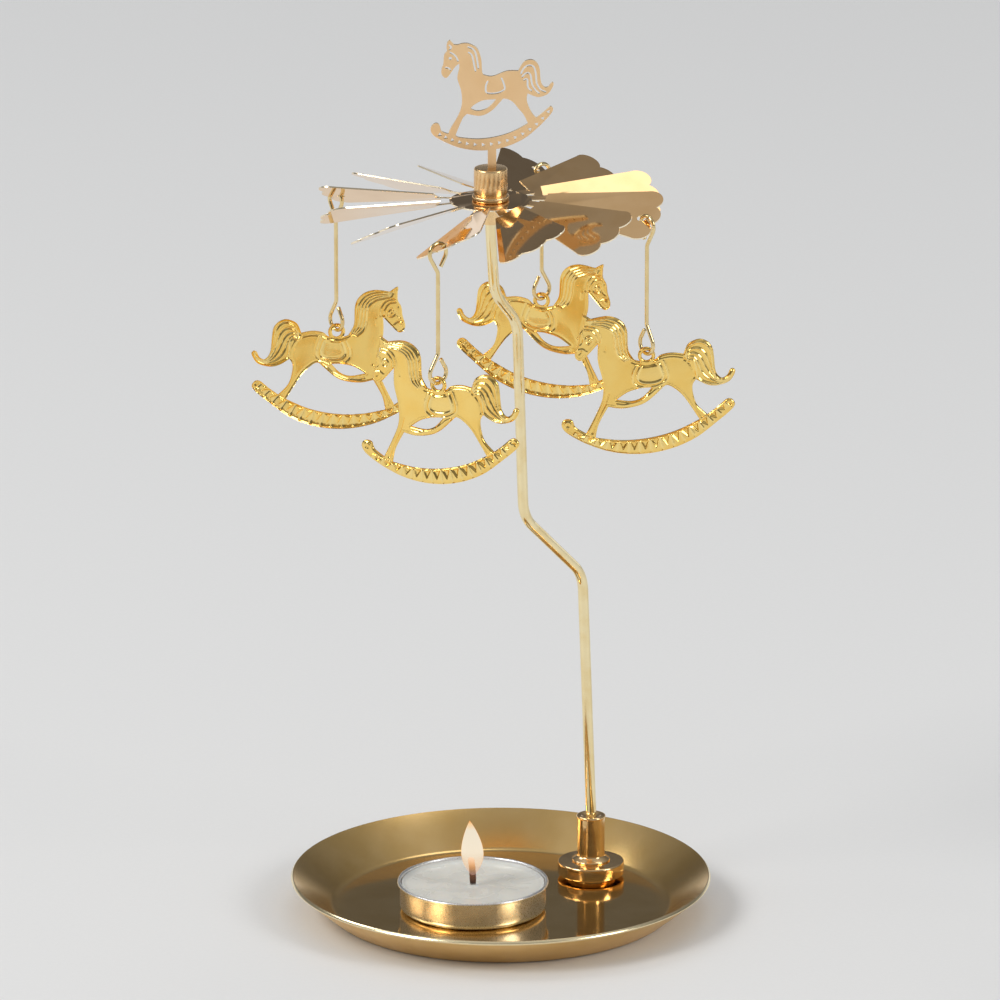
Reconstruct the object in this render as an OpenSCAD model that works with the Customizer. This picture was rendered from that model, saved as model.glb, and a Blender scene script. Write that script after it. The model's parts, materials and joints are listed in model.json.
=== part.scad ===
// Rotary candle carousel. A tea light in a shallow dish warms the air under a
// twelve-bladed fan, which turns on a needle point and carries a flat rocking
// horse on its hub and four rocking-horse pendants on wire hangers.
// Millimetres, +Z up. The origin is the centre of the dish's underside.

/* [Dish] */
// Radius of the dish at its rim
dish_rim_r = 53; // [50:0.5:56]
// Angle at which the wall flares up from the floor, in degrees
dish_slope = 39.5; // [36:0.5:44]
// Height of the rim above the table
dish_h = 9.2; // [8:0.2:11]
// Thickness of the dish sheet
dish_t = 0.9; // [0.7:0.05:1.2]
// Inside radius of the bend between floor and wall
dish_bend_r = 3; // [2:0.25:4]
// Rise of the pressed boss that carries the socket
boss_rise = 0.8; // [0.7:0.05:1]
// Radius of the pressed boss, on top
boss_r = 6.2; // [5.6:0.1:7]

/* [Stem socket] */
// Distance of the socket from the dish centre
socket_offset = 32; // [30.5:0.25:33]
// Direction of the socket from the dish centre, in degrees
socket_dir = 44.2; // [40:0.5:48]
// Radius of the socket flange
flange_r = 8.45; // [8:0.05:9]
// Height of the socket flange
flange_h = 3.5; // [3:0.1:4]
// Radius of the socket column
column_r = 3.5; // [3.3:0.05:3.8]
// Height of the column above the flange
column_h = 12.2; // [11.5:0.1:13]
// Depth of the socket bore that grips the stem
socket_grip = 9.6; // [9:0.1:10]

/* [Socket screw] */
// Diameter of the screw shank
screw_d = 3; // [2.5:0.1:3.2]
// Diameter of the low screw head
screw_head_d = 6; // [5.4:0.1:6.6]
// Height of the screw head
screw_head_h = 0.6; // [0.5:0.05:0.65]
// Reach of the screw into the socket
screw_reach = 4.6; // [4:0.1:5]

/* [Stem] */
// Diameter of the stem wire
stem_d = 2.65; // [2.5:0.05:2.8]
// Radius of the stem's bends, on the wire's centreline
stem_bend_r = 10; // [8:0.5:11]
// Distance of the lower swan-neck's first corner below the rotor sheet
neck1_drop = 103.1; // [101:0.5:107]
// Distance of that corner from the rotor axis
neck1_out = 32.2; // [31:0.2:33.4]
// Distance of the lower swan-neck's second corner below the rotor sheet
neck2_drop = 83.8; // [81:0.5:86]
// Distance of that corner from the rotor axis
neck2_out = 11.4; // [10.8:0.2:12]
// Distance of the upper swan-neck's first corner below the rotor sheet
neck3_drop = 32.7; // [32:0.5:35]
// Distance of that corner from the rotor axis
neck3_out = 9.2; // [8.8:0.1:9.6]
// Distance of the upper swan-neck's second corner below the rotor sheet
neck4_drop = 23.7; // [22:0.5:24]
// Distance of that corner from the rotor axis
neck4_out = 1.25; // [1.1:0.05:1.4]

/* [Rotor] */
// Place of the rotor axis along X
axis_x = -2.5; // [-3.5:0.1:-1.5]
// Place of the rotor axis along Y
axis_y = -2.4; // [-3.5:0.1:-1.5]
// Height of the rotor sheet's flat disc
rotor_z = 185; // [184:0.1:186]
// Thickness of the rotor sheet
sheet_t = 0.4; // [0.35:0.05:0.5]
// Number of blades
blade_count = 12; // [12:1:12]
// Direction of the first blade, in degrees
blade_dir = -16.5; // [-20:0.5:-13]
// Angle at which each blade is twisted out of the sheet
blade_twist = 26; // [23:1:28]
// Angle at which each blade droops below the disc
blade_droop = 3; // [2:0.5:4]
// Extra droop of the lowest blade, which is also twisted that much less
low_blade_droop = 5; // [0:0.5:6]
// Radius of the flat middle disc
disc_r = 10.2; // [9.8:0.1:10.8]
// Radius at which the blades begin
blade_root = 13.5; // [13:0.25:14.5]
// Half of the blade's width at its root
root_half = 3.3; // [3:0.1:3.5]
// Half of the blade's width at its tip
tip_half = 9; // [8.6:0.1:9.2]
// Distance from the hanging wires in to the middle lobe of a blade's tip
lobe_inset = 1.2; // [0.8:0.1:1.6]
// Radius of the middle lobe
middle_lobe_r = 3.9; // [3.7:0.1:4.1]
// Radius of the two side lobes
side_lobe_r = 3.3; // [3.1:0.1:3.5]
// Offset of the blade's middle from its twist axis
blade_shift = 1.1; // [0.6:0.1:1.4]
// Half of the width of the neck that joins a blade to the disc
neck_half = 1.2; // [1:0.1:1.4]
// Diameter of the hole that takes a hanger
hang_hole_d = 2.2; // [2:0.1:2.4]

/* [Hub] */
// Radius of the hub cap
cap_r = 4.15; // [4:0.05:4.3]
// Height of the hub cap above the rotor sheet
cap_h = 8.3; // [8.2:0.1:9]
// Radius of the bead round the foot of the cap
bead_r = 4.6; // [4.4:0.05:4.75]
// Height of the bead
bead_h = 1.5; // [1.2:0.1:1.8]
// Diameter of the sleeve under the rotor sheet
sleeve_d = 4.3; // [4.1:0.1:4.8]
// Length of the sleeve under the rotor sheet
sleeve_len = 5.5; // [4:0.1:6]
// Radial running clearance between stem and hub
run_gap = 0.07; // [0.05:0.01:0.1]
// Height of the needle point above the rotor sheet
needle_rise = 4.7; // [4.4:0.1:4.8]

/* [Hangers] */
// Diameter of the hanger wire
wire_d = 1; // [0.9:0.05:1.05]
// Radius of the loops, on the wire's centreline
loop_r = 2.5; // [2.45:0.05:2.6]
// Distance from a loop's centre to the point where its legs meet
loop_reach = 4.9; // [4.6:0.1:5.2]
// Distance between the centres of the two loops of the shortest hangers
hanger_len = 30; // [28:0.5:32]
// Radius from the rotor axis to a hanging wire
hang_r = 40.5; // [40.3:0.05:40.7]
// Angle from a blade to its hanging wire, in degrees
hang_lag = -1.9; // [-2.1:0.1:-1.7]
// Angle from a hanger's radial line to its loops' plane, in degrees
loop_yaw = -33; // [-35:1:-31]

/* [Pendants] */
// Thickness of the pendant sheet
pendant_t = 0.6; // [0.5:0.05:0.7]
// Diameter of the hole in the pendant's eyelet
eye_d = 2.5; // [2.4:0.05:2.6]
// Outer diameter of the eyelet
eyelet_d = 4.3; // [4.1:0.1:4.5]
// Length of the pendant, from the rocker's curl to its tip
pendant_len = 42.8; // [42:0.2:43.4]
// Radius of the rocker's outer edge
rocker_r = 28.9; // [28:0.3:30.1]
// Height of the pressed relief
relief = 0.3; // [0.2:0.05:0.4]
// Width of the pressed lines of mane, tail and bridle
line_w = 0.6; // [0.5:0.05:0.7]
// Number of studs pressed along the rocker
stud_count = 14; // [12:1:15]
// Size of a stud, as a share of the rocker's width
stud_share = 0.3; // [0.26:0.01:0.34]

/* [Top figure] */
// Thickness of the figure's sheet
figure_t = 0.8; // [0.6:0.1:1]
// Length of the figure, from the rocker's curl to the tail's tip
figure_len = 30.3; // [29.7:0.1:30.9]
// Radius of the outer edge of the figure's rocker
figure_rocker_r = 19.9; // [19.5:0.1:20.4]
// Width of the lines cut through the figure
slot_w = 0.46; // [0.4:0.02:0.5]
// Number of triangles cut along the figure's rocker
hole_count = 16; // [14:1:17]
// Size of a cut triangle, from its middle to a corner
hole_r = 0.6; // [0.5:0.02:0.64]
// Width of the tang that stands in the hub cap
tang_w = 2.1; // [1.8:0.1:2.4]
// Offset of the tang from the rotor axis
tang_shift = 0.35; // [0.2:0.05:0.5]
// Depth of the hub cap's slot
slot_depth = 2.6; // [2.2:0.1:2.8]
// Height of the figure's rocker above the hub cap
figure_lift = 4.2; // [3.5:0.1:5]

/* [Tea light] */
// Place of the tea light along X
light_x = -7; // [-9:0.5:-5]
// Place of the tea light along Y
light_y = -3; // [-5:0.5:-1]
// Radius of the cup's wall
cup_r = 18.4; // [18:0.1:19]
// Height of the cup
cup_h = 7.5; // [7:0.1:9]
// Thickness of the cup's foil
cup_t = 0.3; // [0.25:0.05:0.35]
// Radius of the cup's rolled rim
roll_r = 0.45; // [0.4:0.05:0.5]
// Depth of the wax
wax_h = 5.9; // [5:0.1:6.1]
// Diameter of the wick
wick_d = 1.4; // [1.2:0.1:1.8]
// Height of the wick above the wax
wick_rise = 6; // [4:0.5:7]
// Radius of the wick sustainer's disc
sustainer_r = 6; // [5:0.5:8]

/* [Hidden] */

$fn = 64;
wire_fn = 32;
curve_steps = 4;
cut = 0.1;
fit = 0.02;
// A bend, like the needle's cone, is this much thicker than the straight wire,
// which runs this far into it
bend_swell = 0.01;
bend_lap = 0.1;

// Places and sizes shared by several pieces
socket_xy = socket_offset * [cos(socket_dir), sin(socket_dir)];
axis_xy = [axis_x, axis_y];
socket_z = dish_t + boss_rise;
column_top = socket_z + flange_h + column_h;
sheet_top = rotor_z + sheet_t / 2;
sheet_low = rotor_z - sheet_t / 2;
cap_top = sheet_top + cap_h;
needle_z = sheet_top + needle_rise;
sleeve_low = sheet_low - sleeve_len;
stem_r = stem_d / 2;
needle_len = 3.4;

// Stem: the plan direction from the socket to the rotor axis, and the corners
// of the wire in the upright plane that holds both
stem_span = norm(axis_xy - socket_xy);
stem_dir = atan2(axis_y - socket_xy[1], axis_x - socket_xy[0]);
stem_corners = [[0, column_top - socket_grip],
                [0, column_top + 0.6],
                [stem_span - neck1_out, rotor_z - neck1_drop],
                [stem_span - neck2_out, rotor_z - neck2_drop],
                [stem_span - neck3_out, rotor_z - neck3_drop],
                [stem_span - neck4_out, rotor_z - neck4_drop],
                [stem_span, sleeve_low - 2],
                [stem_span, needle_z - needle_len]];

lobe_place = hang_r - lobe_inset;

// Blades: every third one carries a hanger, and two at the back are bent lower
hang_every = 3;
low_blades = [4, 5];
function extra_droop(k) =
    k == low_blades[0] ? low_blade_droop : (k == low_blades[1] ? low_blade_droop / 2 : 0);

// Hangers: the quarter turn at which each hangs, how much longer it is bent, and
// the yaw of its pendant. The centre of a top loop lies a little below the blade,
// which slopes under it
hang_first = blade_dir + hang_lag;
hang_step = 90;
hang_order = [2, 3, 1, 0];
hang_more = [1, 0.3, 0, 0];
pendant_yaw = [196, -26, 167, 0];
loop_gap = 0.9;
eye_gap = 0.3;
blade_fall = (hang_r - disc_r) * sin(blade_droop) - hang_r * sin(hang_lag) * sin(blade_twist);
hinge_z = rotor_z - blade_fall - loop_gap;
eye_drop = loop_r - wire_d / 2 + eye_d / 2 - eye_gap;

// Where a top loop passes down through its blade, from the loop's centre
loop_slope = tan(blade_twist) * sin(loop_yaw);
slope_sq = 1 + loop_slope * loop_slope;
loop_inset = (sqrt(slope_sq * loop_r * loop_r - loop_gap * loop_gap) + loop_gap * loop_slope) / slope_sq;
hang_hole = [hang_r * cos(hang_lag) - loop_inset * cos(loop_yaw),
             (hang_r * sin(hang_lag) - loop_inset * sin(loop_yaw)) / cos(blade_twist)];

// Loop: the half angle between its legs, and the bend into the straight wire
spread = asin(loop_r / loop_reach);
apex_r = 1.6;
apex_cut = apex_r * tan(spread / 2);
wire_top = loop_reach + apex_cut;

function hang_angle(k) = hang_first + hang_step * hang_order[k];
function hang_xy(k) = axis_xy + hang_r * [cos(hang_angle(k)), sin(hang_angle(k))];
function hang_len(k) = hanger_len + hang_more[k];
function eye_z(k) = hinge_z - hang_len(k) - eye_drop;

// A rocker's edge is an arc: the place of its lowest point, and how much larger its
// radius is than the outer edge's. Its points run from one x to another
function edge_point(edge, r, x) =
    [x, edge[1] + r + edge[2] - sqrt(pow(r + edge[2], 2) - pow(x - edge[0], 2))];
function edge_points(edge, r, from, to, steps) = [
    for (i = [0 : steps]) edge_point(edge, r, from + (to - from) * i / steps)
];
// The angle at which x lies on the arc, and the x at an angle
function edge_angle(edge, r, x) = -acos((x - edge[0]) / (r + edge[2]));
function edge_x(edge, r, angle) = edge[0] + (r + edge[2]) * cos(angle);

// Pendant outline, from the centre of its eye: smooth stretches that meet at
// the sharp corners, walked from the eyelet back over the rump
drawn_pendant_len = 42.8;
outer_edge = [-2.8, -25.3, 0];
inner_edge = [-5.8, -21.8, 7];
pendant_outline = [
    [[2.4, -0.9], [3.7, 0.2], [6.4, 0.7], [9.1, 0.4]],
    [[9.1, 0.4], [10.1, 2.8], [11.8, 3.9], [13.4, 4.2], [15.1, 3.5], [16.2, 2.1], [16.6, 0],
     [17.1, -4], [18.5, -5.7], [19.9, -5], [20.6, -3.6], [21.4, -3.3], [21.9, -4.1], [20.9, -6.1],
     [19.4, -7.1], [17, -7.7], [14.8, -7.4], [12.2, -6.1]],
    [[12.2, -6.1], [11.4, -7.6], [11.6, -10], [12.6, -12.7], edge_point(inner_edge, rocker_r, 15.1)],
    edge_points(inner_edge, rocker_r, 15.1, 19.5, 1),
    [edge_point(inner_edge, rocker_r, 19.5), [20.4, -11], [21.3, -11.3], [21.9, -12.3],
     [21.4, -13.4], [19.8, -15], edge_point(outer_edge, rocker_r, 17.7)],
    edge_points(outer_edge, rocker_r, 17.7, -15.2, 7),
    [edge_point(outer_edge, rocker_r, -15.2), [-17.8, -21.1], [-20, -19.6], [-20.9, -18.1],
     [-20.6, -16.9], [-19.5, -16.4], [-18.2, -16.8], [-17.4, -18.5], [-14.8, -20.1]],
    [[-14.8, -20.1], [-12.4, -15.2], [-10.8, -11], [-10.8, -6.6], [-12, -1.5], [-12, 2.9]],
    [[-12, 2.9], [-15, -0.5], [-16.2, -1.4], [-17.3, -1], [-17.7, 0.4], [-17, 3], [-16.7, 5.2],
     [-15.8, 7], [-15.8, 9.2]],
    [[-15.8, 9.2], [-15.8, 10.4], [-13.8, 9.3]],
    [[-13.8, 9.3], [-9.8, 10], [-6.7, 9.1], [-4.9, 6.6], [-4.5, 1.5], [-3, -1.2]],
    [[-3, -1.2], [0, -1.7], [2.4, -0.9]]
];
pendant_belly = [
    [[-9.4, -13.2], [-6, -13.6], [-2.1, -12.9], [0.6, -11.5], [3.7, -8.6]],
    [[3.7, -8.6], [4.9, -7.6], [6.6, -8.2], [9.3, -10.6], edge_point(inner_edge, rocker_r, 13.2)],
    edge_points(inner_edge, rocker_r, 13.2, -12.5, 5),
    [edge_point(inner_edge, rocker_r, -12.5), [-11.7, -17.6], [-9.4, -13.2]]
];
pendant_girth = [
    [[-7.4, -11.4], [-4.5, -9.4], [-1.2, -8.4], [1.4, -8.2]],
    [[1.4, -8.2], [-0.8, -10.6], [-3.5, -11.7], [-7.4, -11.4]]
];
saddle_cloth = [
    [[-2.1, -2.5], [-3.3, -4.4], [-3.5, -6.4], [-2.5, -8], [1.5, -8], [4.3, -6.9], [5.6, -5.2],
     [5, -2.6], [4.1, -1]],
    [[4.1, -1], [2, -2.2], [0, -2.7], [-2.1, -2.5]]
];
saddle_seat = [
    [[-1.4, -3], [-2.1, -4.6], [-2, -6.1], [-0.6, -6.9], [2, -6.9], [3.9, -6], [4.2, -4.6],
     [3.2, -2.2]],
    [[3.2, -2.2], [1, -3.1], [-1.4, -3]]
];

// Middle lines of what is pressed on the pendant: mane, bridle, tail, rump
// and the strap under the belly
pressed_lines = [
    [[-11.8, 7.6], [-9.6, 7.1], [-8.3, 5.8], [-7.7, 4.1], [-7.7, 2.2], [-7.1, 0.5], [-5.7, -0.7]],
    [[-12.2, 8.6], [-10.2, 8.5], [-8, 7.9], [-6.5, 6.1], [-5.6, 3.8], [-5.3, 0.9]],
    [[-10.2, 7.8], [-9, 7.2], [-7.6, 5.4], [-6.8, 3.1], [-6.2, 1.2]],
    [[-14.5, 7.6], [-12.7, 7.2], [-11.5, 5.8], [-11, 4.1], [-11.2, 2.6]],
    [[-14.3, 1.7], [-15.3, 1.6], [-16.3, 2]],
    [[9.8, 0.2], [11.2, 2.3], [13, 3.2], [14.8, 2.5], [15.7, 0.5], [16.2, -2.1], [16.8, -4.5],
     [17.7, -6], [19, -6.4]],
    [[10.4, -0.7], [12, 1], [13.4, 1.3], [14.3, -0.1], [14.7, -2.3], [15.4, -4.8], [17, -6.5]],
    [[11.2, -1.7], [12.3, -0.4], [13, -1.4], [13.3, -3.4], [14, -5.4], [15.2, -6.7]],
    [[4.9, 0], [7.1, 0], [8.8, -0.6], [10.6, -2.6], [11.2, -4.7]],
    [[-7.4, -12.4], [-5.4, -12.6], [-2.3, -11.9], [0.5, -10.3], [2.3, -8.7]]
];
pressed_eye = [-14.4, 4.1];
pressed_eye_r = 0.8;

// Studs: from the first to the last, by their angle on the outer edge, and how far
// across the rocker they lie
stud_from = edge_angle(outer_edge, rocker_r, -14.6);
stud_to = edge_angle(outer_edge, rocker_r, 20);
stud_place = 0.66;

// Tea light: the round of the cup's foot, and the wick's foil holder
cup_corner = 1.6;
sustainer_t = 0.3;
tube_r = wick_d / 2 + 0.4;
tube_h = 3.2;

// Outline of the top figure, from the rotor axis at the rocker's foot
drawn_figure_len = 30.3;
figure_outer = [-2.35, 0.2, 0];
figure_inner = [-3.6, 3.1, 2.7];
figure_holes = [-2.5, 1.65, 0.95];
figure_outline = [
    [[-14.8, 5.8], [-14.6, 4.8], [-13.9, 3.9], edge_point(figure_outer, figure_rocker_r, -12.4)],
    edge_points(figure_outer, figure_rocker_r, -12.4, 12.6, 7),
    [edge_point(figure_outer, figure_rocker_r, 12.6), [14.6, 9.2], [15.3, 10.3], [15.3, 11],
     [14.8, 11.4], [14.1, 10.9], [12.6, 9.6], [11.2, 8.5]],
    [[11.2, 8.5], [10.4, 9.4], [9.6, 10.8], [9, 12.4], [8.9, 13.6], [9.1, 14.7]],
    [[9.1, 14.7], [11.3, 13.8], [12.6, 13.9], [14, 14.5], [14.9, 15.6], [15.5, 17], [15.2, 17.5],
     [14.7, 17.1], [14.2, 16.4], [13.5, 16.2], [12.8, 16.7], [12.4, 17.6], [12.2, 19],
     [12.1, 20.6], [11.7, 21.9], [11, 22.8], [9.8, 23.2], [8.4, 22.8], [7.5, 21.7], [6.8, 20.4]],
    [[6.8, 20.4], [4.5, 20.4], [3, 20], [1.4, 19.3], [0.2, 19], [-0.8, 19.1], [-1.8, 19.4]],
    [[-1.8, 19.4], [-2.1, 20.3], [-2.3, 23.3], [-3.2, 25.9], [-4.3, 26.8], [-5.6, 27.3],
     [-6.9, 27.3], [-8, 27], [-9, 27]],
    [[-9, 27], [-9.5, 27.6], [-10.1, 28.1], [-10.6, 27.6], [-10.8, 26.7], [-10.7, 25.3]],
    [[-10.7, 25.3], [-11.4, 24.4], [-11.6, 22.2], [-12, 21], [-12.1, 19.9], [-11.7, 19],
     [-11, 18.6], [-10.3, 19.1], [-8.7, 21.4], [-7.7, 22.2]],
    [[-7.7, 22.2], [-7.7, 21], [-8.1, 19.4], [-8.1, 18.1], [-7.2, 15.1], [-7.1, 11.8], [-8, 9],
     [-9.8, 5.9], [-10.4, 4.4]],
    [[-10.4, 4.4], [-11.3, 4.7], [-12.2, 5.2], [-12.4, 6.1], [-12.8, 6.9], [-13.5, 7.1],
     [-14.3, 6.7], [-14.8, 5.8]]
];
figure_belly = [
    [[-5.8, 9.5], [-3, 9], [-1.2, 9.4], [0.6, 10.6], [1.9, 12], [3.1, 13.4]],
    [[3.1, 13.4], [4.3, 13.2], [5.6, 12.4], [6.9, 10.8], [8.2, 9.2],
     edge_point(figure_inner, figure_rocker_r, 9.2)],
    edge_points(figure_inner, figure_rocker_r, 9.2, -7.8, 5),
    [edge_point(figure_inner, figure_rocker_r, -7.8), [-8.6, 4], [-8.2, 5.2], [-7.4, 7.2],
     [-6.7, 8.6], [-5.8, 9.5]]
];
figure_girth = [
    [[-4.9, 10.8], [-3.8, 10.3], [-2.5, 10.3], [-1, 10.8], [0.3, 11.9], [1.4, 13.2]],
    [[1.4, 13.2], [-1.6, 13], [-3.4, 12.2], [-4.5, 11.4], [-4.9, 10.8]]
];

// Middle lines of what is cut through the figure: mane, cheek, mouth, ear, saddle
// and tail
cut_lines = [
    [[-5.5, 26.4], [-4.5, 26], [-3.8, 25.2], [-3.4, 23.7], [-3.2, 22.4], [-3, 21.1]],
    [[-5.4, 25], [-4.7, 24.5], [-4.3, 23.3], [-4, 21.7], [-3.7, 20.4]],
    [[-9.9, 25], [-9, 24.5], [-8.4, 23.8], [-8, 22.9]],
    [[-11, 21.2], [-10.4, 21.1], [-9.9, 20.7]],
    [[-10.1, 26.8], [-9.75, 26.5], [-9.75, 26.1], [-10, 25.8]],
    [[-0.7, 17.7], [-1.1, 16.8], [-1.2, 15.8], [-1.1, 15], [-0.4, 14.7], [1, 14.7], [2.3, 15],
     [3.2, 15.5], [3.5, 16], [3.2, 17.3], [2.7, 18.5]],
    [[7.5, 19.7], [8, 20.8], [8.8, 21.6], [9.8, 21.8], [10.6, 21.4], [11, 20.3], [11.2, 18.8],
     [11.3, 17.4], [11.8, 16.3], [12.5, 15.5], [13.5, 15.1]],
    [[7.8, 18.9], [8.4, 19.6], [9.2, 19.9], [9.8, 19.4], [10, 18.3], [10.2, 17], [10.9, 15.7],
     [11.9, 14.7]],
    [[8.2, 18.1], [8.8, 18.4], [9.1, 17.9], [9.1, 16.7], [9.4, 15.9], [10, 15.4]]
];
cut_eye = [-9.9, 23.5];
cut_eye_r = 0.42;
hole_from = edge_angle(figure_holes, figure_rocker_r, -12.5);
hole_to = edge_angle(figure_holes, figure_rocker_r, 14.2);
hole_ease = 1.08;

// Points along a smooth curve through the points p, which starts and ends on
// the first and last of them
function curve(p, steps = curve_steps) = [
    for (i = [0 : len(p) - 2], j = [0 : steps - 1])
        let (a = p[max(i - 1, 0)], b = p[i], c = p[i + 1], d = p[min(i + 2, len(p) - 1)], t = j / steps)
        0.5 * (2 * b + t * (c - a) + t * t * (2 * a - 5 * b + 4 * c - d)
               + t * t * t * (3 * b - a - 3 * c + d))
];
function outline_points(stretches, size) = [for (s = stretches, p = curve(s)) size * p];

// A band of half width h along the smooth line through p, with round ends
function line_points(p) = concat(curve(p, 2), [p[len(p) - 1]]);
function side_angle(q, i) = heading(q[max(i - 1, 0)], q[min(i + 1, len(q) - 1)]) + 90;
function side_point(q, i, h) = q[i] + h * [cos(side_angle(q, i)), sin(side_angle(q, i))];
function band_points(p, h) =
    let (q = line_points(p), n = len(q) - 1)
        concat([for (i = [1 : n - 1]) side_point(q, i, h)],
               arc_points(q[n], h, side_angle(q, n), side_angle(q, n) - 180, 4),
               [for (i = [n - 1 : -1 : 1]) side_point(q, i, -h)],
               arc_points(q[0], h, side_angle(q, 0) - 180, side_angle(q, 0) - 360, 4));

// Points of an arc of radius r round c
function arc_points(c, r, from, to, steps) = [
    for (i = [0 : steps]) let (a = from + (to - from) * i / steps) c + r * [cos(a), sin(a)]
];

module smooth_plate(stretches, thick, size) {
    linear_extrude(height = thick)
        polygon(outline_points(stretches, size));
}

module bands(lines, width, thick, size) {
    for (p = lines)
        linear_extrude(height = thick)
            polygon(size * band_points(p, width / 2));
}

// A straight piece of wire in the XY plane, with laps that run on past its ends
module wire_bar(a, b, r, lap_a = 0, lap_b = 0) {
    translate([a[0], a[1], 0])
        rotate([0, 0, heading(a, b)])
            translate([-lap_a, 0, 0])
                rotate([0, 90, 0])
                    cylinder(h = norm(b - a) + lap_a + lap_b, r = r, $fn = wire_fn);
}

// A bent piece of wire in the XY plane
module wire_bend(c, bend_r, from, sweep, r) {
    translate([c[0], c[1], 0])
        rotate([0, 0, from])
            rotate_extrude(angle = sweep, $fn = 96)
                translate([bend_r, 0])
                    circle(r = r + bend_swell, $fn = wire_fn);
}

function heading(a, b) = atan2(b[1] - a[1], b[0] - a[0]);
function turn(p, i) = let (t = heading(p[i], p[i + 1]) - heading(p[i - 1], p[i]))
    t > 180 ? t - 360 : (t < -180 ? t + 360 : t);
function setback(p, i, bend_r) =
    (i == 0 || i == len(p) - 1) ? 0 : bend_r * tan(abs(turn(p, i)) / 2);

// A wire through the corners p, with every inner corner bent to one radius
module bent_wire(p, bend_r, r) {
    for (i = [0 : len(p) - 2]) {
        way = (p[i + 1] - p[i]) / norm(p[i + 1] - p[i]);
        wire_bar(p[i] + way * setback(p, i, bend_r), p[i + 1] - way * setback(p, i + 1, bend_r), r,
                 i == 0 ? 0 : bend_lap, i == len(p) - 2 ? 0 : bend_lap);
    }
    for (i = [1 : len(p) - 2]) {
        side = turn(p, i) > 0 ? 1 : -1;
        into = heading(p[i - 1], p[i]);
        start = p[i] - setback(p, i, bend_r) * [cos(into), sin(into)];
        centre = start + side * bend_r * [-sin(into), cos(into)];
        from = side > 0 ? into - 90 : into + 90 + turn(p, i);
        wire_bend(centre, bend_r, from, abs(turn(p, i)), r);
    }
}

module at_socket() {
    translate([socket_xy[0], socket_xy[1], 0])
        children();
}

module at_axis() {
    translate([axis_x, axis_y, 0])
        children();
}

module dish() {
    outer_r = dish_bend_r + dish_t;
    edge_h = dish_h - dish_t * cos(dish_slope);
    base_r = dish_rim_r - edge_h / tan(dish_slope);
    bend = [base_r - outer_r * tan(dish_slope / 2), outer_r];
    profile = concat([[0, 0]],
                     arc_points(bend, outer_r, -90, dish_slope - 90, 6),
                     [[dish_rim_r, edge_h], [dish_rim_r - dish_t * sin(dish_slope), dish_h]],
                     arc_points(bend, dish_bend_r, dish_slope - 90, -90, 6),
                     [[0, dish_t]]);
    color("goldenrod")
        difference() {
            union() {
                rotate_extrude($fn = 128)
                    polygon(profile);
                at_socket()
                    cylinder(h = socket_z, r = boss_r);
            }
            at_socket() {
                translate([0, 0, -cut])
                    cylinder(h = boss_rise + cut, r = boss_r - dish_t);
                cylinder(h = socket_z + cut, d = screw_d + 0.2);
            }
        }
}

module stem_socket() {
    lip = 0.4;
    skirt_h = 1.6;
    skirt_r = column_r + 1.3;
    edge = 0.4;
    flange_top = socket_z + flange_h;
    profile = [[0, socket_z], [flange_r - edge, socket_z], [flange_r, socket_z + edge],
               [flange_r, flange_top - edge], [flange_r - edge, flange_top], [skirt_r, flange_top],
               [column_r, flange_top + skirt_h], [column_r, column_top - 3 * lip],
               [column_r + lip / 2, column_top - 2 * lip], [column_r + lip / 2, column_top - lip],
               [column_r - lip / 2, column_top], [0, column_top]];
    color("gold")
        at_socket()
            difference() {
                rotate_extrude()
                    polygon(profile);
                translate([0, 0, column_top - socket_grip])
                    cylinder(h = socket_grip + cut, r = stem_r + fit);
                translate([0, 0, socket_z - cut])
                    cylinder(h = screw_reach + 0.4 + cut, d = screw_d);
            }
}

module socket_screw() {
    head_low = boss_rise - screw_head_h;
    drive_w = 0.8;
    drive_h = 0.3;
    color("silver")
        at_socket()
            difference() {
                union() {
                    translate([0, 0, head_low])
                        cylinder(h = screw_head_h, d = screw_head_d);
                    translate([0, 0, boss_rise])
                        cylinder(h = dish_t + screw_reach, d = screw_d - 2 * fit);
                }
                translate([-screw_head_d, -drive_w / 2, head_low - cut])
                    cube([2 * screw_head_d, drive_w, drive_h + cut]);
            }
}

module stem() {
    tip_r = 0.1;
    color("khaki")
        at_socket()
            rotate([0, 0, stem_dir]) {
                rotate([90, 0, 0])
                    bent_wire(stem_corners, stem_bend_r, stem_r);
                translate([stem_span, 0, needle_z - needle_len - bend_lap])
                    cylinder(h = needle_len + bend_lap, r1 = stem_r + bend_swell, r2 = tip_r,
                             $fn = wire_fn);
            }
}

// One blade, flat, with its twist axis along X
module blade_plate(holed) {
    side_place = lobe_place - 0.3;
    side_shift = tip_half - side_lobe_r;
    low = -sheet_t / 2;
    difference() {
        union() {
            translate([0, blade_shift, low])
                linear_extrude(height = sheet_t)
                    polygon([[blade_root, -root_half], [side_place, -tip_half], [side_place, tip_half],
                             [blade_root, root_half]]);
            for (side = [-1, 1])
                translate([side_place, blade_shift + side * side_shift, low])
                    cylinder(h = sheet_t, r = side_lobe_r);
            translate([lobe_place, blade_shift, low])
                cylinder(h = sheet_t, r = middle_lobe_r);
        }
        if (holed)
            translate([hang_hole[0], hang_hole[1], low - cut])
                cylinder(h = sheet_t + 2 * cut, d = hang_hole_d);
    }
}

// A blade turned about its own axis, with the neck that leads to it half turned
module twisted_blade(twist, holed) {
    neck_lap = 0.5;
    rotate([twist, 0, 0])
        blade_plate(holed);
    rotate([twist / 2, 0, 0])
        translate([disc_r - neck_lap, -neck_half, -sheet_t / 2])
            cube([blade_root - disc_r + 2 * neck_lap, 2 * neck_half, sheet_t]);
}

module drooped(angle) {
    translate([disc_r, 0, 0])
        rotate([0, angle, 0])
            translate([-disc_r, 0, 0])
                children();
}

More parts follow.
